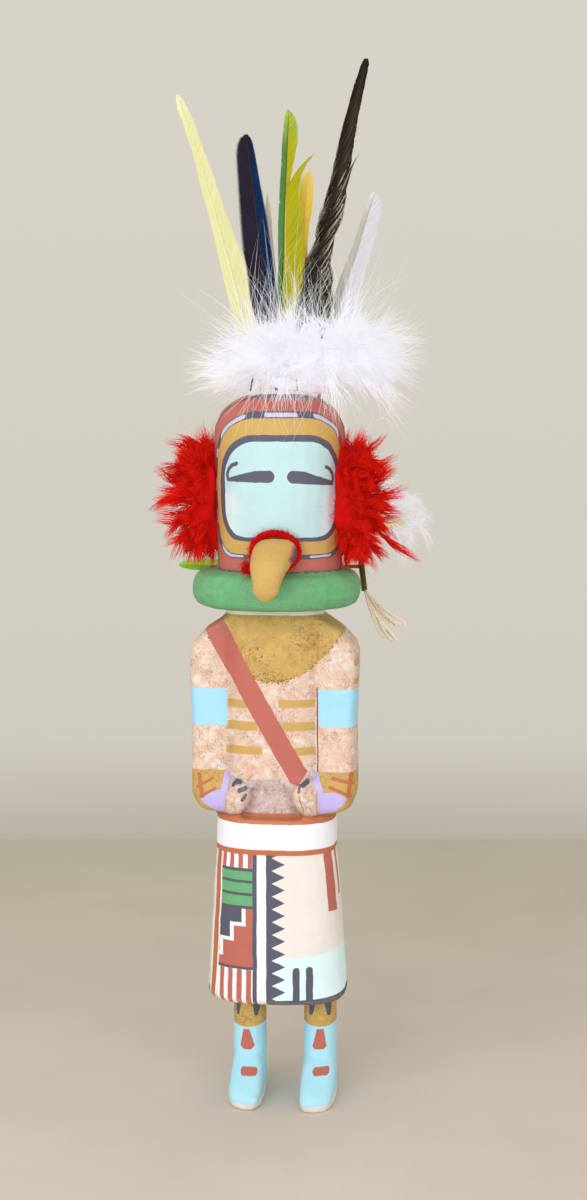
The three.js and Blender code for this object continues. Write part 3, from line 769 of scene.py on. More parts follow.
def paintFigure(piece):
    mesh = piece.data
    places = toDoll(pointsOf(mesh))
    slope = figureShape["headSlope"]
    places[:, :2] *= np.interp(places[:, 2], list(slope), list(slope.values()))[:, None]
    movePoints(mesh, places)
    faces = len(mesh.polygons)
    sizes = np.zeros(faces, int)
    mesh.polygons.foreach_get("loop_total", sizes)
    corners = np.zeros(len(mesh.loops), int)
    mesh.loops.foreach_get("vertex_index", corners)
    owner = np.repeat(np.arange(faces), sizes)
    sums = [np.bincount(owner, places[corners, i], faces) for i in range(3)]
    middles = np.stack(sums, 1) / sizes[:, None]
    region = np.select([middles[:, 2] > level for level in figureShape["levels"]], [0, 1, 2], 3)
    points = places[corners]

    def beside(angle, own):  # the same angle, a whole turn off if need be, next to its face's
        return own + (angle - own + math.pi) % (2 * math.pi) - math.pi

    def headAngle(some):
        return np.arctan2(some[:, 0], -some[:, 1])

    values = np.stack([points[:, 0], points[:, 2], points[:, 1]], 1)
    onHead = region[owner] == 0
    headRound = beside(headAngle(points), headAngle(middles)[owner]) * figureShape["headRadius"]
    values[onHead, 0] = headRound[onHead]
    ownAngle = {}
    kiltRound(middles, lambda angle: ownAngle.setdefault("face", angle))
    hemRound = kiltRound(points, lambda angle: beside(angle, ownAngle["face"][owner]))
    onKilt = region[owner] == 2
    values[onKilt, 0] = hemRound[onKilt]
    setAttribute(mesh, "paint", "CORNER", values)
    setAttribute(mesh, "wearAndShade", "POINT", np.repeat(wearAndShadeShare(mesh), 3, 1))
    mesh.materials.append(maskMaterial(maskPaint))
    mesh.materials.append(bodyMaterial(bodyPaint))
    mesh.materials.append(kiltMaterial(kiltPaint))
    mesh.materials.append(legMaterial(legPaint))
    mesh.polygons.foreach_set("material_index", region)
    mesh.shade_smooth()


figure = carvedCopy("carved_figure", "figure", figureShape)
paintFigure(figure)
print("figure carved and painted:", len(figure.data.polygons), "faces")


# The beak is painted ochre, with a slate mouth edged in red on each flank
beakShape = {
    "voxel": 0.34,
    "passes": 30,
    "knife": [(4.0, 0.1)],
    "blunt": (186.0, 8.0, 0.5),  # the tip is broader: from this height, over this length, by this share
    "foot": (-34.0, 8.0, 1.9),  # the left side flares to the mask: from this y, over this length, this far
    "mouth": [(-20.0, 199.5), (-29.0, 196.6), (-33.2, 192.6), (-29.0, 189.2), (-20.0, 187.0)],
    "flanks": (2.4, 5.4),  # where the mouth's paint starts on the left and the right
}


def beakMaterial(settings):
    material, tree, shader = newMaterial("beak_paint")
    board = Board(tree, colours["ochre"], wobble=0.3)
    board.fleck(1.0, 0.8, 0.3)
    left, right = settings["flanks"]
    flank = most(board.w - left, board.w * -1 - right)
    mouth = board.patch(settings["mouth"])
    board.lay(least(mouth, flank), colours["red"])
    board.lay(least(mouth - 1.0, flank - 1.0), colours["slate"])
    finishPaint(board, shader)
    return material


def makeBeak(settings):
    beak = carvedCopy("beak", "beak_carved", settings)
    mesh = beak.data
    places = toDoll(pointsOf(mesh))
    tipTop, tipLength, blunt = settings["blunt"]
    widen = 1 + blunt * smoothstep((tipTop - places[:, 2]) / tipLength)
    middle = places[places[:, 2] < tipTop, 0].mean()
    places[:, 0] = middle + (places[:, 0] - middle) * widen
    flareFrom, flareLength, flare = settings["foot"]
    onLeft = smoothstep((places[:, 0] - middle) / 4)
    places[:, 0] += flare * onLeft * smoothstep((places[:, 1] - flareFrom) / flareLength)
    movePoints(mesh, places)
    setAttribute(mesh, "paint", "POINT", places[:, (1, 2, 0)])
    setAttribute(mesh, "wearAndShade", "POINT", np.repeat(wearAndShadeShare(mesh), 3, 1))
    mesh.materials.append(beakMaterial(settings))
    mesh.shade_smooth()


makeBeak(beakShape)
print("beak made")


# Fine strands: each path in millimetres is a thin closed blade that ends in a point
def strandMesh(name, groups, materials, solids=(), smooth=True):
    points, quads, triangles, tags, slots = [], [], [], [], []
    start = 0
    for group in groups:
        paths, radii = group["paths"], group["radii"]
        sides = group.get("sides", 3)
        flat = group.get("flat", 1.0)
        count, steps, _ = paths.shape
        along = unit(np.gradient(paths, axis=1))
        if "face" in group:
            up = unit(np.broadcast_to(np.array(group["face"], float), paths.shape))
            side = unit(np.cross(up, along) + group.get("tilt", 0.0) * up)
        else:
            overall = unit(paths[:, -1] - paths[:, 0])
            helper = np.where(abs(overall[:, 2:3]) < 0.8, [[0.0, 0.0, 1.0]], [[0.0, 1.0, 0.0]])
            side = unit(np.cross(along, helper[:, None, :]))
        up = np.cross(along, side)
        angles = np.arange(sides) * 2 * math.pi / sides
        ring = np.cos(angles)[:, None] * side[:, :-1, None, :]
        ring = ring + flat * np.sin(angles)[:, None] * up[:, :-1, None, :]
        body = paths[:, :-1, None, :] + radii[:, :-1, None, None] * ring
        tips = paths[:, -1:, :]
        every = np.concatenate([body.reshape(count, -1, 3), tips], 1)
        each = every.shape[1]
        base = start + np.arange(count)[:, None] * each
        here = np.arange(sides)
        after = (here + 1) % sides
        for level in range(steps - 2):
            low, high = level * sides, (level + 1) * sides
            corners = np.stack([low + here, low + after, high + after, high + here], 1)
            quads.append((base[:, None, :] + corners[None]).reshape(-1, 4))
            slots.append((len(quads[-1]), group.get("slot", 0), 0))
        last = (steps - 2) * sides
        ends = np.stack([last + here, last + after, np.full(sides, each - 1)], 1)
        caps = np.array([[0, k + 1, k] for k in range(1, sides - 1)])
        for corners in (ends, caps):
            triangles.append((base[:, None, :] + corners[None]).reshape(-1, 3))
            slots.append((len(triangles[-1]), group.get("slot", 0), 1))
        share = np.linspace(0, 1, steps)
        tag = np.zeros((count, steps, 3))
        tag[:, :, 0] = group.get("height", share[None, :] + np.zeros((count, 1)))
        tag[:, :, 1] = group.get("across", np.zeros((count, 1)))
        tag[:, :, 2] = group["tone"][:, None]
        bodyTag = np.repeat(tag[:, :-1, None, :], sides, 2).reshape(count, -1, 3)
        tags.append(np.concatenate([bodyTag, tag[:, -1:]], 1).reshape(-1, 3))
        points.append(every.reshape(-1, 3))
        start += count * each
    for solid in solids:
        triangles.append(solid["faces"] + start)
        slots.append((len(triangles[-1]), 0, 1))
        points.append(solid["points"])
        tags.append(np.tile((0.0, 0.0, 0.5), (len(solid["points"]), 1)))
        start += len(solid["points"])
    mesh = bpy.data.meshes.new(name)
    faces = [row for block in quads + triangles for row in block.tolist()]
    mesh.from_pydata(toRow(np.concatenate(points)), [], faces)
    for material in materials:
        mesh.materials.append(material)
    slots.sort(key=lambda entry: entry[2])  # the quads come before the triangles, as in the list of faces
    indices = np.concatenate([np.full(count, slot) for count, slot, _ in slots])
    mesh.polygons.foreach_set("material_index", indices)
    setAttribute(mesh, "strand", "POINT", np.concatenate(tags))
    if smooth:
        mesh.shade_smooth()
    else:
        mesh.shade_flat()
    piece = bpy.data.objects.new(name, mesh)
    bpy.context.scene.collection.objects.link(piece)
    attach(piece, "root")
    return piece


def line(start, end, steps=6):
    return start + np.subtract(end, start) * np.linspace(0, 1, steps)[:, None]


def cord(path, radii, sides, tone, slot=0):  # one thick strand
    radii = np.broadcast_to(radii, (1, len(path)))
    return {"paths": path[None], "radii": radii, "sides": sides, "tone": np.array([tone]), "slot": slot}


def fibreMaterial(name, root, tip, spread, glow=0.0):  # root to tip, with lighter and darker strands
    material, tree, shader = newMaterial(name, 0.85, 0.1)
    shader.inputs["Emission Color"].default_value = tip
    shader.inputs["Emission Strength"].default_value = glow  # a painted glow that stands in for the light loose fibres let through
    height, _, tone = parts(attribute(tree, "strand"))
    colour = dimmed(blend(height, root, tip), tone.math("MULTIPLY_ADD", 2 * spread, 1 - spread))
    tree.links.new(colour.socket, shader.inputs["Base Color"])
    return material


# Feathers: a tapering shaft with barbs on both sides, zipped together in groups that part here and there.
# A row gives the height over the crown, the shaft's x, and the widths of the left and right vane.
crown = 248.0
featherLean = 0.07
feathers = {
    "feather_pale_yellow": {
        "slot": "pale_yellow_feather", "rootY": -2.5, "seed": 11, "slant": 1.7, "camber": 0.12,
        "shaft": 0.75,
        "rows": [
            (-6, -4.0, 0.2, 0.2), (6, -7.6, 0.6, 0.6), (18, -11.0, 2.6, 3.2), (28, -13.8, 3.2, 4.2),
            (38, -16.4, 3.4, 5.4), (44, -18.1, 3.1, 6.2), (50, -19.8, 2.8, 5.4),
            (61, -23.0, 2.4, 4.2), (70, -25.7, 2.3, 3.9), (78, -28.0, 1.8, 3.1),
            (86, -30.7, 1.8, 2.7), (91, -32.4, 1.7, 2.6), (95, -34.0, 1.7, 2.3),
            (98, -35.0, 1.3, 1.7), (100, -35.6, 0.3, 0.3),
        ],
        "left": paint(206, 204, 144), "right": paint(211, 209, 155), "tip": paint(218, 216, 172),
        "quill": paint(226, 224, 178), "streak": 0.05, "glow": 0.1,
    },
    "feather_dark_blue": {
        "slot": "dark_blue_feather", "rootY": 1.0, "seed": 12, "slant": 1.5, "camber": 0.1, "shaft": 0.6,
        "rows": [
            (-6, -0.6, 0.2, 0.2), (10, -2.6, 1.2, 1.0), (22, -4.3, 4.4, 3.0), (32, -5.4, 6.0, 3.8),
            (42, -6.4, 6.2, 4.0), (50, -7.5, 6.9, 4.1), (58, -8.5, 6.6, 3.8), (65, -9.4, 6.2, 3.4),
            (70, -10.1, 5.8, 3.0), (76, -10.9, 5.4, 2.7), (81.5, -11.6, 4.9, 2.3),
            (84.5, -12.0, 4.1, 2.0), (86.4, -12.3, 2.6, 1.4), (87.3, -12.4, 0.5, 0.4),
        ],
        "left": paint(34, 27, 42), "right": paint(14, 44, 84), "tip": paint(34, 27, 40),
        "quill": paint(14, 12, 18), "streak": 0.2, "parting": 0.0, "shine": 0.06,
    },
    "feather_grey_brown": {
        "slot": "grey_brown_feather", "rootY": 6.0, "seed": 13, "slant": 1.6, "camber": 0.1, "shaft": 0.45,
        "rows": [
            (-6, 0.2, 0.2, 0.2), (16, -1.6, 1.2, 1.2), (34, -3.6, 1.7, 2.0), (50, -5.2, 1.5, 2.0),
            (57, -5.4, 1.2, 1.6), (63, -5.5, 0.9, 1.1), (67.6, -5.6, 0.1, 0.1),
        ],
        "left": paint(214, 206, 194), "right": paint(206, 198, 186), "tip": paint(218, 212, 200),
        "quill": paint(196, 188, 174), "streak": 0.05, "glow": 0.12,
    },
    "feather_green": {
        "slot": "green_feather", "rootY": -3.0, "seed": 14, "slant": 1.5, "camber": 0.1, "shaft": 0.45,
        "rows": [
            (-6, 3.6, 0.2, 0.2), (10, 2.4, 0.8, 1.0), (24, 0.9, 1.4, 4.6), (34, 0.7, 1.6, 7.0),
            (43, 1.0, 1.8, 7.9), (51, 1.2, 2.2, 7.2), (57, 1.3, 2.3, 6.5), (59, 1.4, 2.3, 1.5),
            (66, 1.6, 2.2, 1.4), (71, 1.8, 2.2, 1.6), (74, 1.9, 2.1, 2.2), (79.5, 2.1, 2.0, 3.1),
            (84, 2.2, 1.9, 3.8), (89, 2.5, 1.8, 3.4), (92, 2.5, 1.5, 2.6), (93.8, 2.4, 0.9, 1.4),
            (94.5, 2.4, 0.2, 0.2),
        ],
        "parting": 0.015,
        "lobe": {
            "count": 64, "feet": (47, 64), "lean": 0.16, "lift": 0.62,
            "edge": [(8.0, 57.5), (7.6, 63.0), (7.7, 68.5), (8.0, 73.6), (9.6, 76.6), (12.1, 79.5)],
        },
        "left": paint(66, 118, 46), "right": paint(172, 168, 6), "tip": paint(158, 180, 66),
        "quill": paint(58, 60, 30), "streak": 0.18,
    },
    "feather_yellow": {
        "slot": "yellow_feather", "rootY": 2.0, "seed": 15, "slant": 1.5, "camber": 0.1, "shaft": 0.45,
        "rows": [
            (-6, 7.4, 0.2, 0.2), (14, 7.2, 1.4, 1.4), (34, 7.0, 3.2, 2.2), (50, 7.5, 3.4, 1.6),
            (56, 7.8, 3.2, 1.7), (61, 8.0, 3.0, 2.4), (66.5, 8.3, 2.8, 2.7), (71, 8.6, 2.4, 2.4),
            (73.4, 8.8, 1.7, 1.8), (74.8, 8.9, 0.4, 0.4),
        ],
        "left": paint(228, 198, 60), "right": paint(232, 200, 76), "tip": paint(234, 206, 116),
        "quill": paint(228, 198, 80), "streak": 0.06, "glow": 0.05,
    },
    "feather_black_barred": {
        "slot": "black_feather", "rootY": -0.9, "seed": 16, "shaft": 0.6,
        "wound": {"from": 9.0, "count": 1150, "length": 19.0, "turn": 0.05, "sweep": 1.7, "radius": 0.21},
        "rows": [
            (-6, 8.0, 0.4, 0.4), (10, 9.2, 4.2, 4.2), (22, 10.6, 6.6, 6.6), (31, 11.7, 7.2, 7.2),
            (37, 12.2, 6.3, 6.3), (43, 12.7, 5.0, 5.0), (50, 14.8, 3.5, 3.5), (58, 16.9, 4.6, 4.6),
            (64, 18.4, 4.0, 4.0), (69.5, 19.3, 3.0, 3.0), (75.5, 20.7, 3.2, 3.2),
            (84.4, 22.3, 2.8, 2.8), (93, 24.1, 2.4, 2.4), (99, 25.5, 2.1, 2.1),
            (104, 26.8, 1.8, 1.8), (109, 28.1, 1.5, 1.5), (111, 28.5, 1.0, 1.0),
        ],
        "lobe": {
            "count": 16, "feet": (50, 60), "lean": 0.45, "lift": 0.66,
            "edge": [(24.6, 76.2), (26.0, 78.0), (26.8, 79.3)],
        },
        "left": paint(48, 41, 33), "right": paint(58, 50, 40), "tip": paint(40, 35, 30),
        "quill": paint(40, 34, 28), "streak": 0.55, "pale": paint(206, 198, 172), "shine": 0.08,
    },
    "feather_grey_white": {
        "slot": "grey_white_feather", "rootY": 3.0, "seed": 17, "slant": 1.6, "camber": 0.1, "shaft": 0.6,
        "rows": [
            (-6, 12.4, 0.2, 0.2), (8, 15.2, 0.8, 1.0), (20, 17.6, 2.0, 4.8), (32, 20.6, 2.6, 6.6),
            (38, 22.6, 2.9, 6.2), (44, 24.8, 2.8, 5.6), (50, 26.6, 2.4, 5.5), (56, 28.3, 2.0, 5.0),
            (61, 29.8, 1.9, 4.6), (64, 30.8, 1.8, 3.9), (66.2, 31.4, 1.4, 2.6),
            (67.2, 31.5, 0.5, 0.8),
        ],
        "left": paint(166, 160, 150), "right": paint(200, 200, 203), "tip": paint(202, 202, 203),
        "quill": paint(178, 172, 162), "streak": 0.08, "glow": 0.1,
    },
}


def vaneMaterial(name, settings):
    material, tree, shader = newMaterial(name, 0.55, settings.get("shine", 0.25))
    shader.inputs["Emission Color"].default_value = settings["tip"]
    glow = settings.get("glow", 0.0)  # a painted glow that stands in for the light a pale vane lets through
    shader.inputs["Emission Strength"].default_value = glow
    height, across, tone = parts(attribute(tree, "strand"))
    colour = blend(across.clamped(8.0, 0.5), settings["left"], settings["right"])
    colour = blend(between(height, 0.86, 1.0), colour, settings["tip"])
    spread = settings["streak"]
    drift = noise(attribute(tree, "strand"), 0.35, 2.0)
    light = tone.math("MULTIPLY_ADD", 2 * spread, 1 - spread) + (drift - 0.5) * 0.16
    colour = dimmed(colour, light)
    if "pale" in settings:
        place = between(abs(across + 0.1), 0.15, 0.5) * between(height, 0.75, 0.62)
        colour = blend(between(tone, 0.7, 0.74) * place, colour, settings["pale"])
    tree.links.new(colour.socket, shader.inputs["Base Color"])
    return material


def plainMaterial(name, colour):
    material, tree, shader = newMaterial(name, 0.45)
    light = noise(objectPlace(tree, (700, 700, 120)), 1.0, 2.0).math("MULTIPLY_ADD", 0.3, 0.85)
    tree.links.new(dimmed(colour, light).socket, shader.inputs["Base Color"])
    return material


barb = {
    "pitch": 0.4, "half": 0.3, "flat": 0.3, "tilt": 0.3, "parting": 0.035, "curve": 1.35, "taper": 0.35,
    "gather": 6.0,  # a barb further than this from its group's middle isn't drawn in any more than this
    "draw": 0.14, "uneven": (0.04, 0.02), "stray": 0.015,
}


def barbTips(rises, widths, slant):  # heights of the tips, spread evenly along the vane's edge and shaft
    fine = np.linspace(rises[0], rises[-1], 4000)
    foot = fine - slant * np.interp(fine, rises, widths)
    step = np.maximum(np.gradient(fine), abs(np.gradient(foot)))
    along = np.cumsum(step)
    tips = np.interp(np.arange(0.5, along[-1] / barb["pitch"]) * barb["pitch"], along, fine)
    return tips, np.interp(tips, rises, widths)


def vaneBarbs(rng, settings, shaftAt, rises, sign, widths):
    tips, width = barbTips(rises, widths, settings["slant"])
    count = len(tips)
    zipped = np.cumsum(rng.random(count) < settings.get("parting", barb["parting"]))
    groups = zipped.max() + 1
    middle = np.bincount(zipped, tips, groups) / np.bincount(zipped, minlength=groups)
    gather = np.clip(middle[zipped] - tips, -barb["gather"], barb["gather"])
    gather = gather * barb["draw"] * rng.random(groups)[zipped]
    foot = tips - settings["slant"] * width
    inGroup, alone = barb["uneven"]
    width = width * (1 - inGroup * rng.random(groups)[zipped] - alone * rng.random(count))
    share = np.linspace(0, 1, 5)[None, :]
    up = foot[:, None] + (tips - foot)[:, None] * share ** barb["curve"] + gather[:, None] * share ** 2
    path = shaftAt(up)
    path[..., 0] += sign * width[:, None] * share
    stray = barb["stray"] * rng.standard_normal((count, 1)) * share
    path[..., 1] += settings["camber"] * width[:, None] * share + stray
    return {
        "paths": path, "radii": barb["half"] * (1 - barb["taper"] * share) * np.ones((count, 1)),
        "flat": barb["flat"], "face": (0, 1, 0), "tilt": sign * barb["tilt"],
        "height": (up - rises[0]) / (rises[-1] - rises[0]), "across": sign * share * np.ones((count, 1)),
        "tone": rng.random(count),
    }


def bentBarbs(rng, feet, bends, ends):  # barbs from foot to end that lean towards the bend between them
    share = np.linspace(0, 1, 7)[None, :, None]
    feet, bends, ends = feet[:, None], bends[:, None], ends[:, None]
    path = (1 - share) ** 2 * feet + 2 * share * (1 - share) * bends + share ** 2 * ends
    count = len(feet)
    return {
        "paths": path, "radii": barb["half"] * np.linspace(1, 0.5, 7)[None, :] * np.ones((count, 1)),
        "flat": barb["flat"], "face": (0, 1, 0), "tilt": barb["tilt"], "across": np.ones((count, 1)),
        "height": 0.7 * np.ones((count, 7)), "tone": rng.random(count),
    }


def lobeBarbs(rng, shaftAt, lobe):  # a part of the vane that has come away and ends in its own point
    share = np.linspace(0, 1, lobe["count"])
    edge = np.array(lobe["edge"])
    steps = np.linspace(0, 1, len(edge))
    feet = shaftAt(np.interp(share, (0, 1), lobe["feet"]))
    ends = feet.copy()
    ends[:, 0] = np.interp(share, steps, edge[:, 0])
    ends[:, 2] = crown + np.interp(share, steps, edge[:, 1])
    lean = np.interp(share, (0, 0.4), (0.5, lobe["lean"]))  # its lowest barbs still lie as the vane's do
    lift = np.interp(share, (0, 0.4), (0.28, lobe["lift"]))
    bends = feet + (ends - feet) * np.stack([lean, np.full(len(share), 0.5), lift], 1)
    return bentBarbs(rng, feet, bends, ends)


def woundBarbs(rng, settings, shaftAt, rises, widths):  # loose barbs that wind round the shaft
    wound = settings["wound"]
    count = wound["count"]
    foot = rng.uniform(wound["from"], rises[-1] - 3, count)
    length = np.minimum(wound["length"] * rng.uniform(0.7, 1.1, count), rises[-1] - foot)
    share = np.linspace(0, 1, 9)[None, :]
    height = foot[:, None] + length[:, None] * share
    turn = 2 * math.pi * rng.random((count, 1)) + wound["turn"] * height + wound["sweep"] * share
    swell = np.minimum(1, 3.5 * share) * (1 - 0.3 * share ** 3)
    out = np.interp(height, rises, widths) * swell * rng.uniform(0.75, 1.0, (count, 1))
    path = shaftAt(height)
    path[..., 0] += out * np.cos(turn)
    path[..., 1] += 0.5 * out * np.sin(turn)
    return {
        "paths": path, "radii": wound["radius"] * np.linspace(1, 0.4, 9)[None, :] * np.ones((count, 1)),
        "flat": 0.4, "face": np.stack([np.cos(turn), np.sin(turn), 0 * turn], -1),
        "height": (height - rises[0]) / (rises[-1] - rises[0]),
        "across": np.cos(turn) * share, "tone": rng.random(count),
    }


quill = {"steps": 24, "short": 1.0, "taper": 0.86, "power": 0.8, "raised": 0.15, "sides": 7}


def makeFeather(node, settings):
    rng = np.random.default_rng(settings["seed"])
    rows = np.array(settings["rows"], float)
    rises = rows[:, 0]

    def shaftAt(rise):
        y = settings["rootY"] + featherLean * (rise - rises[0])
        return np.stack([np.interp(rise, rises, rows[:, 1]), y, crown + rise], -1)

    groups = []
    if "wound" in settings:
        groups.append(woundBarbs(rng, settings, shaftAt, rises, (rows[:, 2] + rows[:, 3]) / 2))
    else:
        groups.append(vaneBarbs(rng, settings, shaftAt, rises, -1, rows[:, 2]))
        groups.append(vaneBarbs(rng, settings, shaftAt, rises, 1, rows[:, 3]))
    if "lobe" in settings:
        groups.append(lobeBarbs(rng, shaftAt, settings["lobe"]))
    stem = np.linspace(rises[0], rises[-1] - quill["short"], quill["steps"])
    along = np.linspace(0, 1, quill["steps"])
    thick = settings["shaft"] * (1 - quill["taper"] * along ** quill["power"])
    path = shaftAt(stem)
    path[:, 1] -= quill["raised"]
    groups.append(cord(path, thick, quill["sides"], 0.5, 1))
    materials = [vaneMaterial(node + "_vane", settings), plainMaterial(node + "_quill", settings["quill"])]
    piece = strandMesh(node + "_barbs", groups, materials, smooth=False)
    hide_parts(node)
    return piece


for node, settings in feathers.items():
    makeFeather(node, settings)
print("crown feathers made")


# Feathers behind the head: straight from a root to a tip
yellowBackFeather = {
    "slot": "yellow_feather", "slant": 1.5, "camber": 0.05, "shaft": 0.5, "rootY": 0, "normal": (0, -1, 0),
    "left": paint(228, 212, 84), "right": paint(236, 222, 110), "tip": paint(240, 228, 130),
    "quill": paint(240, 232, 170), "streak": 0.12,
}
backFeathers = {
    "back_feather_green": {
        "slot": "green_feather", "seed": 21, "slant": 1.5, "camber": 0.05, "shaft": 0.75, "rootY": 0,
        "root": (27.4, 25.1, 185.4), "end": (-40.6, 29.1, 185.0), "normal": (0, -0.8, 0.6),
        "rows": [
            (0, 0, 0.0, 0.0), (36, 0, 0.4, 0.4), (44, 0, 2.0, 2.0), (58, 0, 2.7, 2.7),
            (64, 0, 2.4, 2.4), (67, 0, 1.5, 1.5), (68.2, 0, 0.3, 0.3),
        ],
        "left": paint(128, 196, 62), "right": paint(150, 214, 84), "tip": paint(150, 214, 84),
        "quill": paint(92, 98, 44), "streak": 0.12,
    },
    "back_feather_yellow_right": {
        **yellowBackFeather, "seed": 22, "root": (-3.0, 19.5, 199.0), "end": (-36.3, 26.0, 211.5),
        "rows": [
            (0, 0, 0.2, 0.2), (10, 0, 2.0, 2.0), (22, 0, 3.4, 3.4), (31, 0, 2.8, 2.8),
            (36.2, 0, 0.3, 0.3),
        ],
    },
    "back_feather_yellow_left": {
        **yellowBackFeather, "seed": 23, "root": (3.0, 19.5, 199.0), "end": (43.8, 26.0, 202.0),
        "rows": [
            (0, 0, 0.2, 0.2), (12, 0, 2.2, 2.2), (26, 0, 3.4, 3.4), (36, 0, 2.8, 2.8),
            (41.4, 0, 0.3, 0.3),
        ],
    },
}


def makeBackFeather(node, settings):
    root, end = np.array(settings["root"]), np.array(settings["end"])
    piece = makeFeather(node, settings)
    run = unit(end - root)
    face = unit(np.cross(run, settings["normal"]))
    normal = np.cross(face, run)
    places = toDoll(pointsOf(piece.data)) - np.array([0, 0, crown])
    places[:, 1] -= featherLean * places[:, 2]
    turned = root + places[:, 2:3] * run + places[:, :1] * face + places[:, 1:2] * normal
    movePoints(piece.data, turned)
    editWhole(piece, bpy.ops.mesh.normals_make_consistent, inside=False)
    piece.data.update()


for node, settings in backFeathers.items():
    makeBackFeather(node, settings)
print("back feathers made")


# Down and wool are tufts of strands. A tuft has an axis, and its strands leave it along its first stretch.
def tuftPaths(rng, roots, heads, lengths, look):
    each, steps = look["strands"], look["steps"]
    count = len(roots)
    which = np.repeat(np.arange(count), each)
    total = len(which)
    axis, size = unit(heads)[which], lengths[which]
    sway = unit(np.cross(heads, rng.standard_normal((count, 3))))[which]
    own = unit(np.cross(axis, rng.standard_normal((total, 3))))
    start = rng.random(total) * look["leave"]
    fan = look["spread"] * (0.25 + 0.75 * rng.random(total))
    reach = size * (1 - start) * (0.6 + 0.4 * rng.random(total))
    share = np.linspace(0, 1, steps)
    t = share[None, :, None]
    foot = roots[which] + axis * (start * size)[:, None]
    aside = fan[:, None, None] * own[:, None, :] * (t - look["gather"] * t ** 2)
    path = foot[:, None, :] + reach[:, None, None] * (axis[:, None, :] * t + aside)
    whole = start[:, None, None] + (1 - start)[:, None, None] * t
    path = path + look["sway"] * size[:, None, None] * sway[:, None, :] * whole ** 2
    path[..., 2] -= look["droop"] * size[:, None] * whole[..., 0] ** 2
    phase = rng.random((total, 2)) * 2 * math.pi
    turns = 2 * math.pi * reach / look["kinkLength"]
    swing = look["kink"] * np.minimum(1, 2.5 * share)[None, :, None]
    path = path + swing * own[:, None, :] * np.sin(phase[:, :1, None] + turns[:, None, None] * t)
    other = np.cross(axis, own)
    path = path + swing * other[:, None, :] * np.cos(phase[:, 1:, None] + 1.3 * turns[:, None, None] * t)
    taper = np.minimum(1, (1 - share) * 1.6 + 0.06)[None, :]
    return path, look["radius"] * taper * np.ones((total, 1)), which


def ballWays(rng, count, low=-1.0, high=1.0):  # random directions whose rise lies between low and high
    turn = rng.random(count) * 2 * math.pi
    rise = rng.uniform(low, high, count)
    flat = np.sqrt(1 - rise ** 2)
    return np.stack([flat * np.cos(turn), flat * np.sin(turn), rise], 1)


def blob(middle, half, roughness, seed):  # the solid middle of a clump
    ball = bmesh.new()
    bmesh.ops.create_icosphere(ball, subdivisions=4, radius=1)
    ways = np.array([vertex.co for vertex in ball.verts])
    faces = np.array([[vertex.index for vertex in face.verts] for face in ball.faces])
    ball.free()
    rng = np.random.default_rng(seed)
    swell = np.ones(len(ways))
    for _ in range(24):
        swell += roughness / 4 * np.sin(ways @ (rng.standard_normal(3) * 7) + rng.random() * 6)
    return {"points": np.array(middle) + np.array(half) * ways * swell[:, None], "faces": faces}


# White down round the feet of the feathers: plumes on all sides, barbs that stand up before the feathers,
# others that hang over the mask, and long faint wisps
# the down's painted glow, which lifts its shaded strands
downGlow = 0.3
downWhite = (paint(229, 228, 233), paint(234, 233, 239))
downTone = 0.03
downRoom = ((-48.5, -36.5), (53.0, 42.0))  # no barb reaches lower or higher in x and y than these
crestShape = {
    "seed": 31,
    "middle": (9.8, 1.0, 256.8),
    "core": (20.0, 15.0, 7.8),
    "uneven": 0.1,
    "collar": ((9.0, 1.0, 250.3), (11.5, 9.0, 3.4)),  # the down packed round the quills
    "plumes": 262,
    "rise": (-0.35, 1.0),
    "depth": (0.75, 1),
    "flatten": (1.0, 1.0, 0.6),
    "wild": 0.3,
    "reach": (9.0, 18.5),
    "bareCrown": ((-10.0, -18.0, 249.5), (7.0, 12.0, 5.0)),  # no barb lies here: its middle and half size
    "look": {
        "strands": 33, "steps": 5, "spread": 0.66, "droop": 0.16, "radius": 0.108, "leave": 0.6,
        "gather": 0.1, "sway": 0.42, "kink": 0.3, "kinkLength": 7.0,
    },
}
crestWisps = {
    "seed": 32,
    "plumes": 62,
    "rise": (-0.3, 0.7),
    "depth": 0.8,
    "flatten": (1.0, 0.7, 0.75),
    "wild": 0.2,
    "reach": (22.0, 34.0),
    "look": {
        "strands": 36, "steps": 6, "spread": 0.5, "droop": 0.12, "radius": 0.06, "leave": 0.5,
        "gather": 0.1, "sway": 0.25, "kink": 0.35, "kinkLength": 9.0,
    },
    "fan": {"from": 8, "lean": 0.02},  # single barbs lean away from this x
    "standing": {
        "count": 650, "x": (-9.0, 26.0), "y": (-16.0, -5.0), "z": (255.0, 264.0), "reach": (8.0, 34.0),
        "radius": 0.085, "wild": 0.18, "bend": 0.32, "forward": 0.1, "steps": 8,
    },
    "hanging": {
        "count": 150, "x": (-5.0, 18.0), "z": (250.0, 256.0), "reach": (8.0, 22.0), "radius": 0.075,
        "round": 22.0, "steps": 8,
    },
    "hooks": {
        "count": 90, "middle": (33.0, -4.0, 252.0), "spread": (2.5, 6.0, 6.0), "reach": (8.0, 14.0),
        "radius": 0.1, "steps": 9,
    },
    "stems": [((-7.9, -17.5, 247.6), (-7.3, -15.5, 252.4)), ((7.6, -17.5, 247.6), (7.2, -15.5, 252.0))],
    "stemRadius": 0.3,
}


def barbs(rng, roots, heads, lengths, bend, radius, steps=6):  # single barbs that bend evenly
    t = np.linspace(0, 1, steps)[None, :, None]
    heads = unit(heads)
    path = roots[:, None, :] + lengths[:, None, None] * (heads[:, None, :] * t + bend[:, None, :] * t ** 2)
    radii = radius * np.linspace(1, 0.1, steps)[None, :] * np.ones((len(roots), 1))
    return {"paths": path, "radii": radii, "tone": rng.random(len(roots))}


def mostlyShort(rng, reach, count):
    low, high = reach
    return low + (high - low) * rng.random(count) ** 2


def inRoom(path, radii):  # only the barbs that stay inside the room
    low, high = downRoom
    fits = ((path[..., :2] > low) & (path[..., :2] < high)).all((1, 2))
    return path[fits], radii[fits]


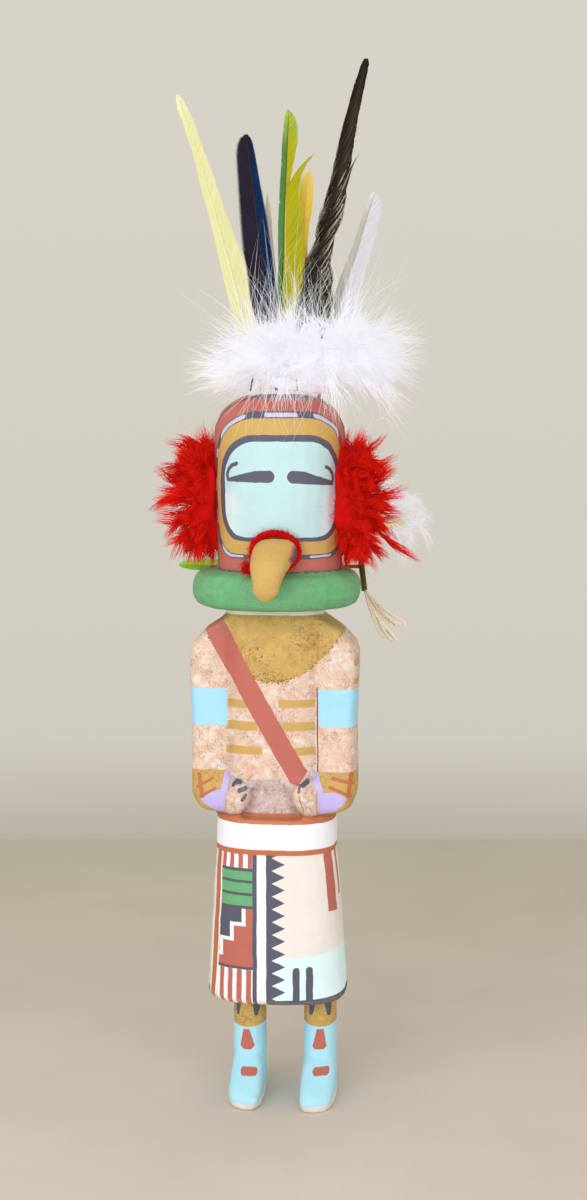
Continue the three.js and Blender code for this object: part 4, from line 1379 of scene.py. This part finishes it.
def standingBarbs(rng, up, fan):
    count = up["count"]
    roots = np.stack([rng.uniform(*up[axis], count) for axis in "xyz"], 1)
    lean = (roots[:, 0] - fan["from"]) * fan["lean"]
    sideways = lean + up["wild"] * rng.standard_normal(count)
    heads = np.stack([sideways, -up["forward"] * np.ones(count), np.ones(count)], 1)
    lengths = mostlyShort(rng, up["reach"], count)
    bend = up["bend"] * rng.standard_normal((count, 3))
    return barbs(rng, roots, heads, lengths, bend, up["radius"], up["steps"])


def hangingBarbs(rng, down, fan):
    count = down["count"]
    x = rng.uniform(*down["x"], count)
    y = -np.sqrt(np.maximum(down["round"] ** 2 - (0.8 * (x - 1)) ** 2, 60)) + 6
    roots = np.stack([x, y, rng.uniform(*down["z"], count)], 1)
    heads = rng.standard_normal((count, 3)) * (0.45, 0.1, 0.1) + (0.0, -0.85, -0.3)
    heads[:, 0] += (x - fan["from"]) * fan["lean"]
    bend = rng.standard_normal((count, 3)) * (0.4, 0.1, 0.15) + (0.0, 0.45, -0.7)
    lengths = mostlyShort(rng, down["reach"], count)
    return barbs(rng, roots, heads, lengths, bend, down["radius"], down["steps"])


def hookedBarbs(rng, hooks):
    count = hooks["count"]
    roots = np.array(hooks["middle"]) + rng.standard_normal((count, 3)) * hooks["spread"]
    heads = np.stack([np.ones(count), 0.4 * rng.standard_normal(count), 0.5 * rng.standard_normal(count)], 1)
    back, aside = -0.55 * rng.random(count), 0.2 * rng.standard_normal(count)
    bend = np.stack([back, aside, rng.uniform(-0.8, 0.6, count)], 1)
    lengths = rng.uniform(*hooks["reach"], count)
    return barbs(rng, roots, heads, lengths, bend, hooks["radius"], hooks["steps"])


def makeCrest(settings):
    rng = np.random.default_rng(settings["seed"])
    middle, core = np.array(settings["middle"]), np.array(settings["core"])
    ways = ballWays(rng, settings["plumes"], *settings["rise"])
    roots = middle + core * ways * rng.uniform(*settings["depth"], (len(ways), 1))
    heads = unit(ways * settings["flatten"]) + settings["wild"] * rng.standard_normal((len(ways), 3))
    lengths = rng.uniform(*settings["reach"], len(ways))
    path, radii, _ = tuftPaths(rng, roots, heads, lengths, settings["look"])
    bareMiddle, bareHalf = settings["bareCrown"]
    clear = (((path - bareMiddle) / bareHalf) ** 2).sum(-1).min(1) > 1
    path, radii = inRoom(path[clear], radii[clear])
    plumes = {"paths": path, "radii": radii, "tone": rng.random(len(path))}
    clumps = ((middle, core), settings["collar"])
    solids = [blob(*clump, settings["uneven"], settings["seed"]) for clump in clumps]
    white = fibreMaterial("down_white", *downWhite, downTone, downGlow)
    crest = strandMesh("crest_plumes", [plumes], [white], solids)
    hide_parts("crest_down")
    return white


def makeWisps(settings, crest, white):
    rng = np.random.default_rng(settings["seed"])
    ways = ballWays(rng, settings["plumes"], *settings["rise"])
    roots = np.array(crest["middle"]) + np.array(crest["core"]) * ways * settings["depth"]
    heads = unit(ways * settings["flatten"]) + settings["wild"] * rng.standard_normal((len(ways), 3))
    lengths = rng.uniform(*settings["reach"], len(ways))
    path, radii, _ = tuftPaths(rng, roots, heads, lengths, settings["look"])
    path, radii = inRoom(path, radii)
    groups = [{"paths": path, "radii": radii, "tone": rng.random(len(path))}]
    groups.append(standingBarbs(rng, settings["standing"], settings["fan"]))
    groups.append(hangingBarbs(rng, settings["hanging"], settings["fan"]))
    groups.append(hookedBarbs(rng, settings["hooks"]))
    for low, high in settings["stems"]:
        groups.append(cord(line(low, high), settings["stemRadius"], 6, 0.5, 1))
    wisps = strandMesh("crest_wisps", groups, [white, plainMaterial("crest_stem", colours["slate"])])


makeWisps(crestWisps, crestShape, makeCrest(crestShape))
print("crest made")


# A flatter plume of the same down behind the head
backDown = {
    "seed": 35,
    "foot": (27.0, 24.0, 212.0),
    "end": (44.0, 25.0, 199.0),
    "plumes": 34,
    "reach": (10.0, 19.0),
    "behind": 21.3,  # no barb comes further forward than this
    "look": {
        "strands": 30, "steps": 6, "spread": 0.6, "droop": 0.35, "radius": 0.055, "leave": 0.6,
        "gather": 0.1, "sway": 0.3, "kink": 0.4, "kinkLength": 8.0,
    },
}


def makeBackDown(settings):
    rng = np.random.default_rng(settings["seed"])
    count = settings["plumes"]
    share = rng.random((count, 1))
    foot, end = np.array(settings["foot"]), np.array(settings["end"])
    roots = foot + share * (end - foot) + rng.standard_normal((count, 3)) * (2.5, 0.6, 3.5)
    heads = rng.standard_normal((count, 3)) * (0.3, 0.12, 0.0) + (0.9, 0.0, 0.0)
    heads[:, 2] = rng.uniform(-1, 0.8, count)
    lengths = rng.uniform(*settings["reach"], count)
    path, radii, _ = tuftPaths(rng, roots, heads, lengths, settings["look"])
    path[..., 1] = np.maximum(path[..., 1], settings["behind"])
    path, radii = inRoom(path, radii)
    strands = {"paths": path, "radii": radii, "tone": rng.random(len(path))}
    white = fibreMaterial("back_down_white", *downWhite, downTone, downGlow)
    plume = strandMesh("back_plume", [strands], [white])
    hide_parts("back_down")


makeBackDown(backDown)
print("back plume made")


# Teased red wool at the ears: a packed middle with frizzy locks that fan out from the side of the mask
woolShape = {
    "seed": 41,
    "middle": (25.0, 1.0, 211.5),
    "half": (7.0, 12.0, 18.0),
    "uneven": 0.12,
    "source": (15.0, 6.0, 212.0),  # the locks point away from here
    "locks": 190,
    "inward": 0.55,  # no lock points further in than this
    "depth": 0.8,
    "wild": 0.25,
    "reach": (8.0, 17.0),
    "look": {
        "strands": 24, "steps": 6, "spread": 0.55, "droop": 0.1, "radius": 0.13, "leave": 0.35,
        "gather": 0.84, "sway": 0.36, "kink": 0.46, "kinkLength": 2.4,
    },
    "tailLook": {"strands": 50, "spread": 0.16},
    "fuzz": {"count": 1050, "reach": (3.0, 7.5), "radius": 0.06, "wild": 0.5, "out": (1.25, 1.15, 1.1)},
    "red": (paint(186, 8, 5), paint(238, 34, 20)),
    "tone": 0.2,
    "glow": 0.1,
    "face": (21.6, -9.0, 203.0),  # further in, forward and up than this the mask stays nearly bare
    "stray": 3.2,
}
# Each tuft's side, the shift of its middle from the other's mirror image, and its tails: root, way, length
woolSides = {
    "ear_wool_right": (-1, (0.0, 0.0, 0.0), [((-30.0, 0.0, 213.0), (-1.0, 0.0, 0.05), 17.0)]),
    "ear_wool_left": (1, (-0.8, -2.5, -1.2), [
        ((31.0, -2.0, 203.0), (0.75, 0.0, -1.0), 21.0), ((26.0, -3.0, 201.0), (0.05, 0.0, -1.0), 13.5),
        ((29.0, 1.0, 201.0), (0.2, 0.1, -1.0), 13.0),
    ]),
}


def makeWool(node, settings):
    side, nudge, tails = woolSides[node]
    rng = np.random.default_rng(settings["seed"] + side)
    mirror = (side, 1, 1)
    middle, half = np.multiply(settings["middle"], mirror) + nudge, np.array(settings["half"])
    ways = ballWays(rng, 4 * settings["locks"])
    ways = ways[ways[:, 0] * side > -settings["inward"]][:settings["locks"]]
    roots = middle + half * ways * settings["depth"]
    source = np.multiply(settings["source"], mirror)
    heads = unit(roots - source) + settings["wild"] * rng.standard_normal((len(roots), 3))
    fuller = 0.75 + 0.3 * abs(ways[:, 0]) + 0.12 * ways[:, 2]
    lengths = rng.uniform(*settings["reach"], len(roots)) * fuller
    path, radii, which = tuftPaths(rng, roots, heads, lengths, settings["look"])
    inner, front, chin = settings["face"]
    inner = inner - settings["stray"] * rng.random((len(path), 1)) ** 2
    onFace = (side * path[..., 0] < inner) & (path[..., 1] < front) & (path[..., 2] > chin)
    path, radii, which = (kind[~onFace.any(1)] for kind in (path, radii, which))
    tone = 0.4 * rng.random(len(path)) + 0.6 * rng.random(len(roots))[which]
    feet, ways, reach = (np.array(column, float) for column in zip(*tails))
    look = {**settings["look"], **settings["tailLook"]}
    tailPath, tailRadii, _ = tuftPaths(rng, feet, ways, reach, look)
    tail = {"paths": tailPath, "radii": tailRadii, "tone": rng.random(len(tailPath))}
    fuzz = settings["fuzz"]
    ways = ballWays(rng, fuzz["count"])
    feet = middle + half * ways * fuzz["out"]
    bend = fuzz["wild"] * rng.standard_normal((len(feet), 3))
    heads = ways + fuzz["wild"] * rng.standard_normal(ways.shape)
    lengths = rng.uniform(*fuzz["reach"], len(feet))
    loose = barbs(rng, feet, heads, lengths, bend, fuzz["radius"])
    groups = [{"paths": path, "radii": radii, "tone": tone}, tail, loose]
    red = fibreMaterial(node + "_wool", *settings["red"], settings["tone"], settings["glow"])
    clump = blob(middle, half, settings["uneven"], settings["seed"])
    wool = strandMesh(node + "_locks", groups, [red], [clump])
    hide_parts(node)


for node in woolSides:
    makeWool(node, woolShape)
print("wool made")


# Two plies of fuzzy yarn round the foot of the beak, with the knot and tails at the doll's right
yarn = {
    "seed": 51, "ply": 0.74, "twist": 0.62, "turns": 15, "steps": 240, "sides": 7,
    "thick": 1.25, "snug": 0.87, "aside": 0.5,
    "fuzz": {"count": 1150, "reach": (0.7, 1.7), "from": 1.2, "radius": 0.07, "steps": 5},
    "red": (paint(186, 8, 10), paint(214, 20, 18)), "tone": 0.15, "glow": 0.04,
    "knot": (-8.3, -24.6, 189.4),
    "tails": [  # start, bend and end from the knot
        ((2.4, 0.6, 1.6), (-0.6, -0.4, -0.2), (-1.4, 0.2, -2.6)),
        ((1.6, 0.8, 2.0), (0.6, -0.6, 0.0), (0.6, 0.0, -2.4)),
    ],
    "tailHalf": 1.1,
    "knotFuzz": {"count": 300, "spread": (1.0, 0.6, 1.2), "reach": (1.0, 2.2), "radius": 0.09},
}


def makeRing(settings):
    rng = np.random.default_rng(settings["seed"])
    low, high = (toDoll(corner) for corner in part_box("beak_yarn_ring"))
    middle, half = (low + high) / 2, (high - low) / 2
    thick = settings["thick"]
    halfWidth, halfHeight = half[0] - thick, half[2] - thick
    dish = (2 * half[1] - 2 * thick) / halfWidth ** 2
    halfWidth *= settings["snug"]
    middle[0] += settings["aside"]

    def ringAt(turn):
        x = halfWidth * np.cos(turn)
        y = low[1] + thick + dish * x ** 2
        return np.stack([middle[0] + x, y, middle[2] + halfHeight * np.sin(turn)], -1)

    def around(turn, twist, radius):
        out = unit(np.stack([np.cos(turn), 0 * turn, np.sin(turn)], -1))
        shift = np.cos(twist)[..., None] * out + np.sin(twist)[..., None] * (0, -1, 0)
        return ringAt(turn) + radius * shift

    groups = []
    turn = np.linspace(0, 2 * math.pi * 1.01, settings["steps"])
    for start in (0, math.pi):
        path = around(turn, start + settings["turns"] * turn, settings["twist"])
        groups.append(cord(path, settings["ply"], settings["sides"], 0.4))
    fuzz = settings["fuzz"]
    count = fuzz["count"]
    turn = rng.random(count) * 2 * math.pi
    twist = rng.random(count) * 2 * math.pi
    feet = around(turn, twist, fuzz["from"])
    heads = feet - ringAt(turn) + 0.7 * rng.standard_normal((count, 3))
    bend = 0.6 * rng.standard_normal((count, 3))
    lengths = rng.uniform(*fuzz["reach"], count)
    groups.append(barbs(rng, feet, heads, lengths, bend, fuzz["radius"], fuzz["steps"]))
    knot = np.array(settings["knot"])
    t = np.linspace(0, 1, 12)[:, None]
    for first, second, third in settings["tails"]:
        path = knot + (1 - t) ** 2 * first + 2 * t * (1 - t) * np.array(second) + t ** 2 * third
        radii = settings["tailHalf"] * settings["ply"] * np.minimum(1, 4 * (1.02 - t[:, 0]))
        groups.append(cord(path, radii, settings["sides"], 0.7))
    loose = settings["knotFuzz"]
    count = loose["count"]
    feet = knot + rng.standard_normal((count, 3)) * loose["spread"]
    heads = rng.standard_normal((count, 3)) + (-0.3, -0.4, -0.5)
    lengths = rng.uniform(*loose["reach"], count)
    bend = 0.4 * rng.standard_normal((count, 3))
    groups.append(barbs(rng, feet, heads, lengths, bend, loose["radius"], fuzz["steps"]))
    red = fibreMaterial("ring_yarn", *settings["red"], settings["tone"], settings["glow"])
    ring = strandMesh("yarn_ring", groups, [red])
    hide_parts("beak_yarn_ring")


makeRing(yarn)
print("ring made")


# Cotton string in two fanned bundles, bound to the green feather's quill with dark thread
tassel = {
    "seed": 61,
    "knot": (27.6, 24.2, 177.6),
    "bundles": [  # end from the knot, strings, width at the end
        ((12.8, -0.6, -13.0), 22, 2.2),
        ((9.4, -0.2, -18.6), 20, 1.8),
    ],
    "string": 0.3,
    "uneven": (0.7, 1.2),
    "sag": 0.06,
    "fray": (0.5, 0.4, 0.3),
    "wave": 0.3,
    "stations": [0, 0.08, 0.18, 0.3, 0.43, 0.56, 0.69, 0.81, 0.9, 0.97, 0.995, 1.0],
    "binding": {
        "foot": (26.3, 24.6, 188.0), "end": (27.7, 24.2, 176.6), "radius": 0.85, "turns": 16,
        "thread": 0.33, "steps": 150,
    },
}


def makeTassel(settings):
    rng = np.random.default_rng(settings["seed"])
    knot = np.array(settings["knot"])
    groups = []
    share = np.array(settings["stations"])
    t = share[None, :, None]
    for end, count, width in settings["bundles"]:
        ends = np.array(end) + rng.standard_normal((count, 3)) * (0.5 * width, 0.8, 0.3 * width)
        sag = np.array([-settings["sag"] * end[0], -0.6, settings["sag"] * end[2]])
        fray = rng.standard_normal((count, 1, 3)) * settings["fray"]
        path = knot + ends[:, None, :] * t + 4 * (t - t ** 2) * (sag + fray)
        wave = settings["wave"] * np.sin(9 * t + 6 * rng.random((count, 1, 3)))
        path = path + wave * t
        cut = np.where(share > 0.99, 0.7, 1.0)[None, :]
        radii = settings["string"] * cut * rng.uniform(*settings["uneven"], (count, 1))
        groups.append({"paths": path, "radii": radii, "sides": 5, "tone": rng.random(count)})
    bound = settings["binding"]
    foot, end = np.array(bound["foot"]), np.array(bound["end"])
    axis = unit(end - foot)
    side = unit(np.cross(axis, (0, 1, 0)))
    other = np.cross(axis, side)
    t = np.linspace(0, 1, bound["steps"])[:, None]
    turn = 2 * math.pi * bound["turns"] * t
    path = foot + (end - foot) * t + bound["radius"] * (np.cos(turn) * side + np.sin(turn) * other)
    groups.append(cord(path, bound["thread"], 6, 0.5, 1))
    groups.append(cord(line(foot, end), bound["radius"], 9, 0.3, 1))
    cotton = fibreMaterial("cotton_cream", paint(228, 216, 190), paint(240, 232, 212), 0.12, 0.06)
    thread = fibreMaterial("binding_olive", paint(70, 72, 34), paint(96, 98, 50), 0.2)
    strings = strandMesh("string_bundles", groups, [cotton, thread])
    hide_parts("string_tassel")


makeTassel(tassel)
print("tassel made")


# Studio: a pale floor that ends behind the doll, soft light and a grey-beige surround, with painted shade
# darkening the floor towards the back and the surround towards its foot
studio = {
    "floorBack": 356.0, "floorHalf": 900.0, "turn": cameraPlace["azimuth"],
    "floorNear": paint(228, 211, 206), "floorFar": paint(197, 193, 177), "farFrom": 0.2,
    "cloud": {"size": 60.0, "share": 0.16}, "weave": {"size": 1.6, "share": 0.06},
    "wallFoot": paint(177, 170, 155), "wallLow": paint(204, 199, 188), "wallHigh": paint(212, 207, 196),
    "surround": 1.04, "lightColour": (0.89, 0.94, 1.0), "aim": (0, 0, 170),
    "lights": {  # place, size in metres, power
        "key": ((-400, -820, 560), 0.9, 5.1), "fill": ((520, -720, 330), 0.9, 2.7),
        "low": ((-60, -900, 150), 0.8, 1.2),
    },
}


def makeFloor(settings):
    half, turn = settings["floorHalf"], math.radians(settings["turn"])
    away = settings["floorBack"] - half
    bpy.ops.mesh.primitive_plane_add(size=2 * half * mm)
    floor = bpy.context.active_object
    floor.name = "floor"
    floor.location = toRow((-away * math.sin(turn), away * math.cos(turn), 0))
    floor.rotation_euler = (0, 0, turn)
    material, tree, shader = newMaterial("floor_cloth", 0.9, 0.2)
    place = objectPlace(tree)
    cloud, weave = settings["cloud"], settings["weave"]
    light = noise(place, cloud["size"], 4.0).math("MULTIPLY_ADD", cloud["share"], 0.9)
    light = light + (noise(place, weave["size"], 2.0) - 0.5) * weave["share"]
    _, depth, _ = parts(place)
    # painted shade: the cloth darkens towards the back, where less light reaches it
    far = between(depth, settings["farFrom"] * half, half)
    colour = dimmed(blend(far, settings["floorNear"], settings["floorFar"]), light)
    tree.links.new(colour.socket, shader.inputs["Base Color"])
    floor.data.materials.append(material)


def makeSurround(settings):
    world = bpy.data.worlds.new("surround")
    bpy.context.scene.world = world
    world.use_nodes = True
    tree = world.node_tree
    background = tree.nodes["Background"]
    place = tree.nodes.new("ShaderNodeTexCoord")
    _, _, height = parts(Field(tree, place.outputs["Generated"]))
    # painted shade: the surround darkens downwards, most at its foot where it meets the floor
    colour = blend(between(height, -0.25, 0.15), settings["wallLow"], settings["wallHigh"])
    colour = blend(between(height, -0.19, -0.255), colour, settings["wallFoot"])
    tree.links.new(colour.socket, background.inputs["Color"])
    background.inputs["Strength"].default_value = settings["surround"]


def makeLights(settings):
    for name, (place, size, power) in settings["lights"].items():
        bpy.ops.object.light_add(type="AREA", location=toRow(place))
        light = bpy.context.active_object
        light.name = name
        light.data.energy = power
        light.data.size = size
        light.data.color = settings["lightColour"]
        aim = Vector(toRow(settings["aim"])) - light.location
        light.rotation_euler = aim.to_track_quat("-Z", "Y").to_euler()


makeFloor(studio)
makeSurround(studio)
makeLights(studio)
bpy.context.scene.view_settings.view_transform = "Standard"
print("studio lit")
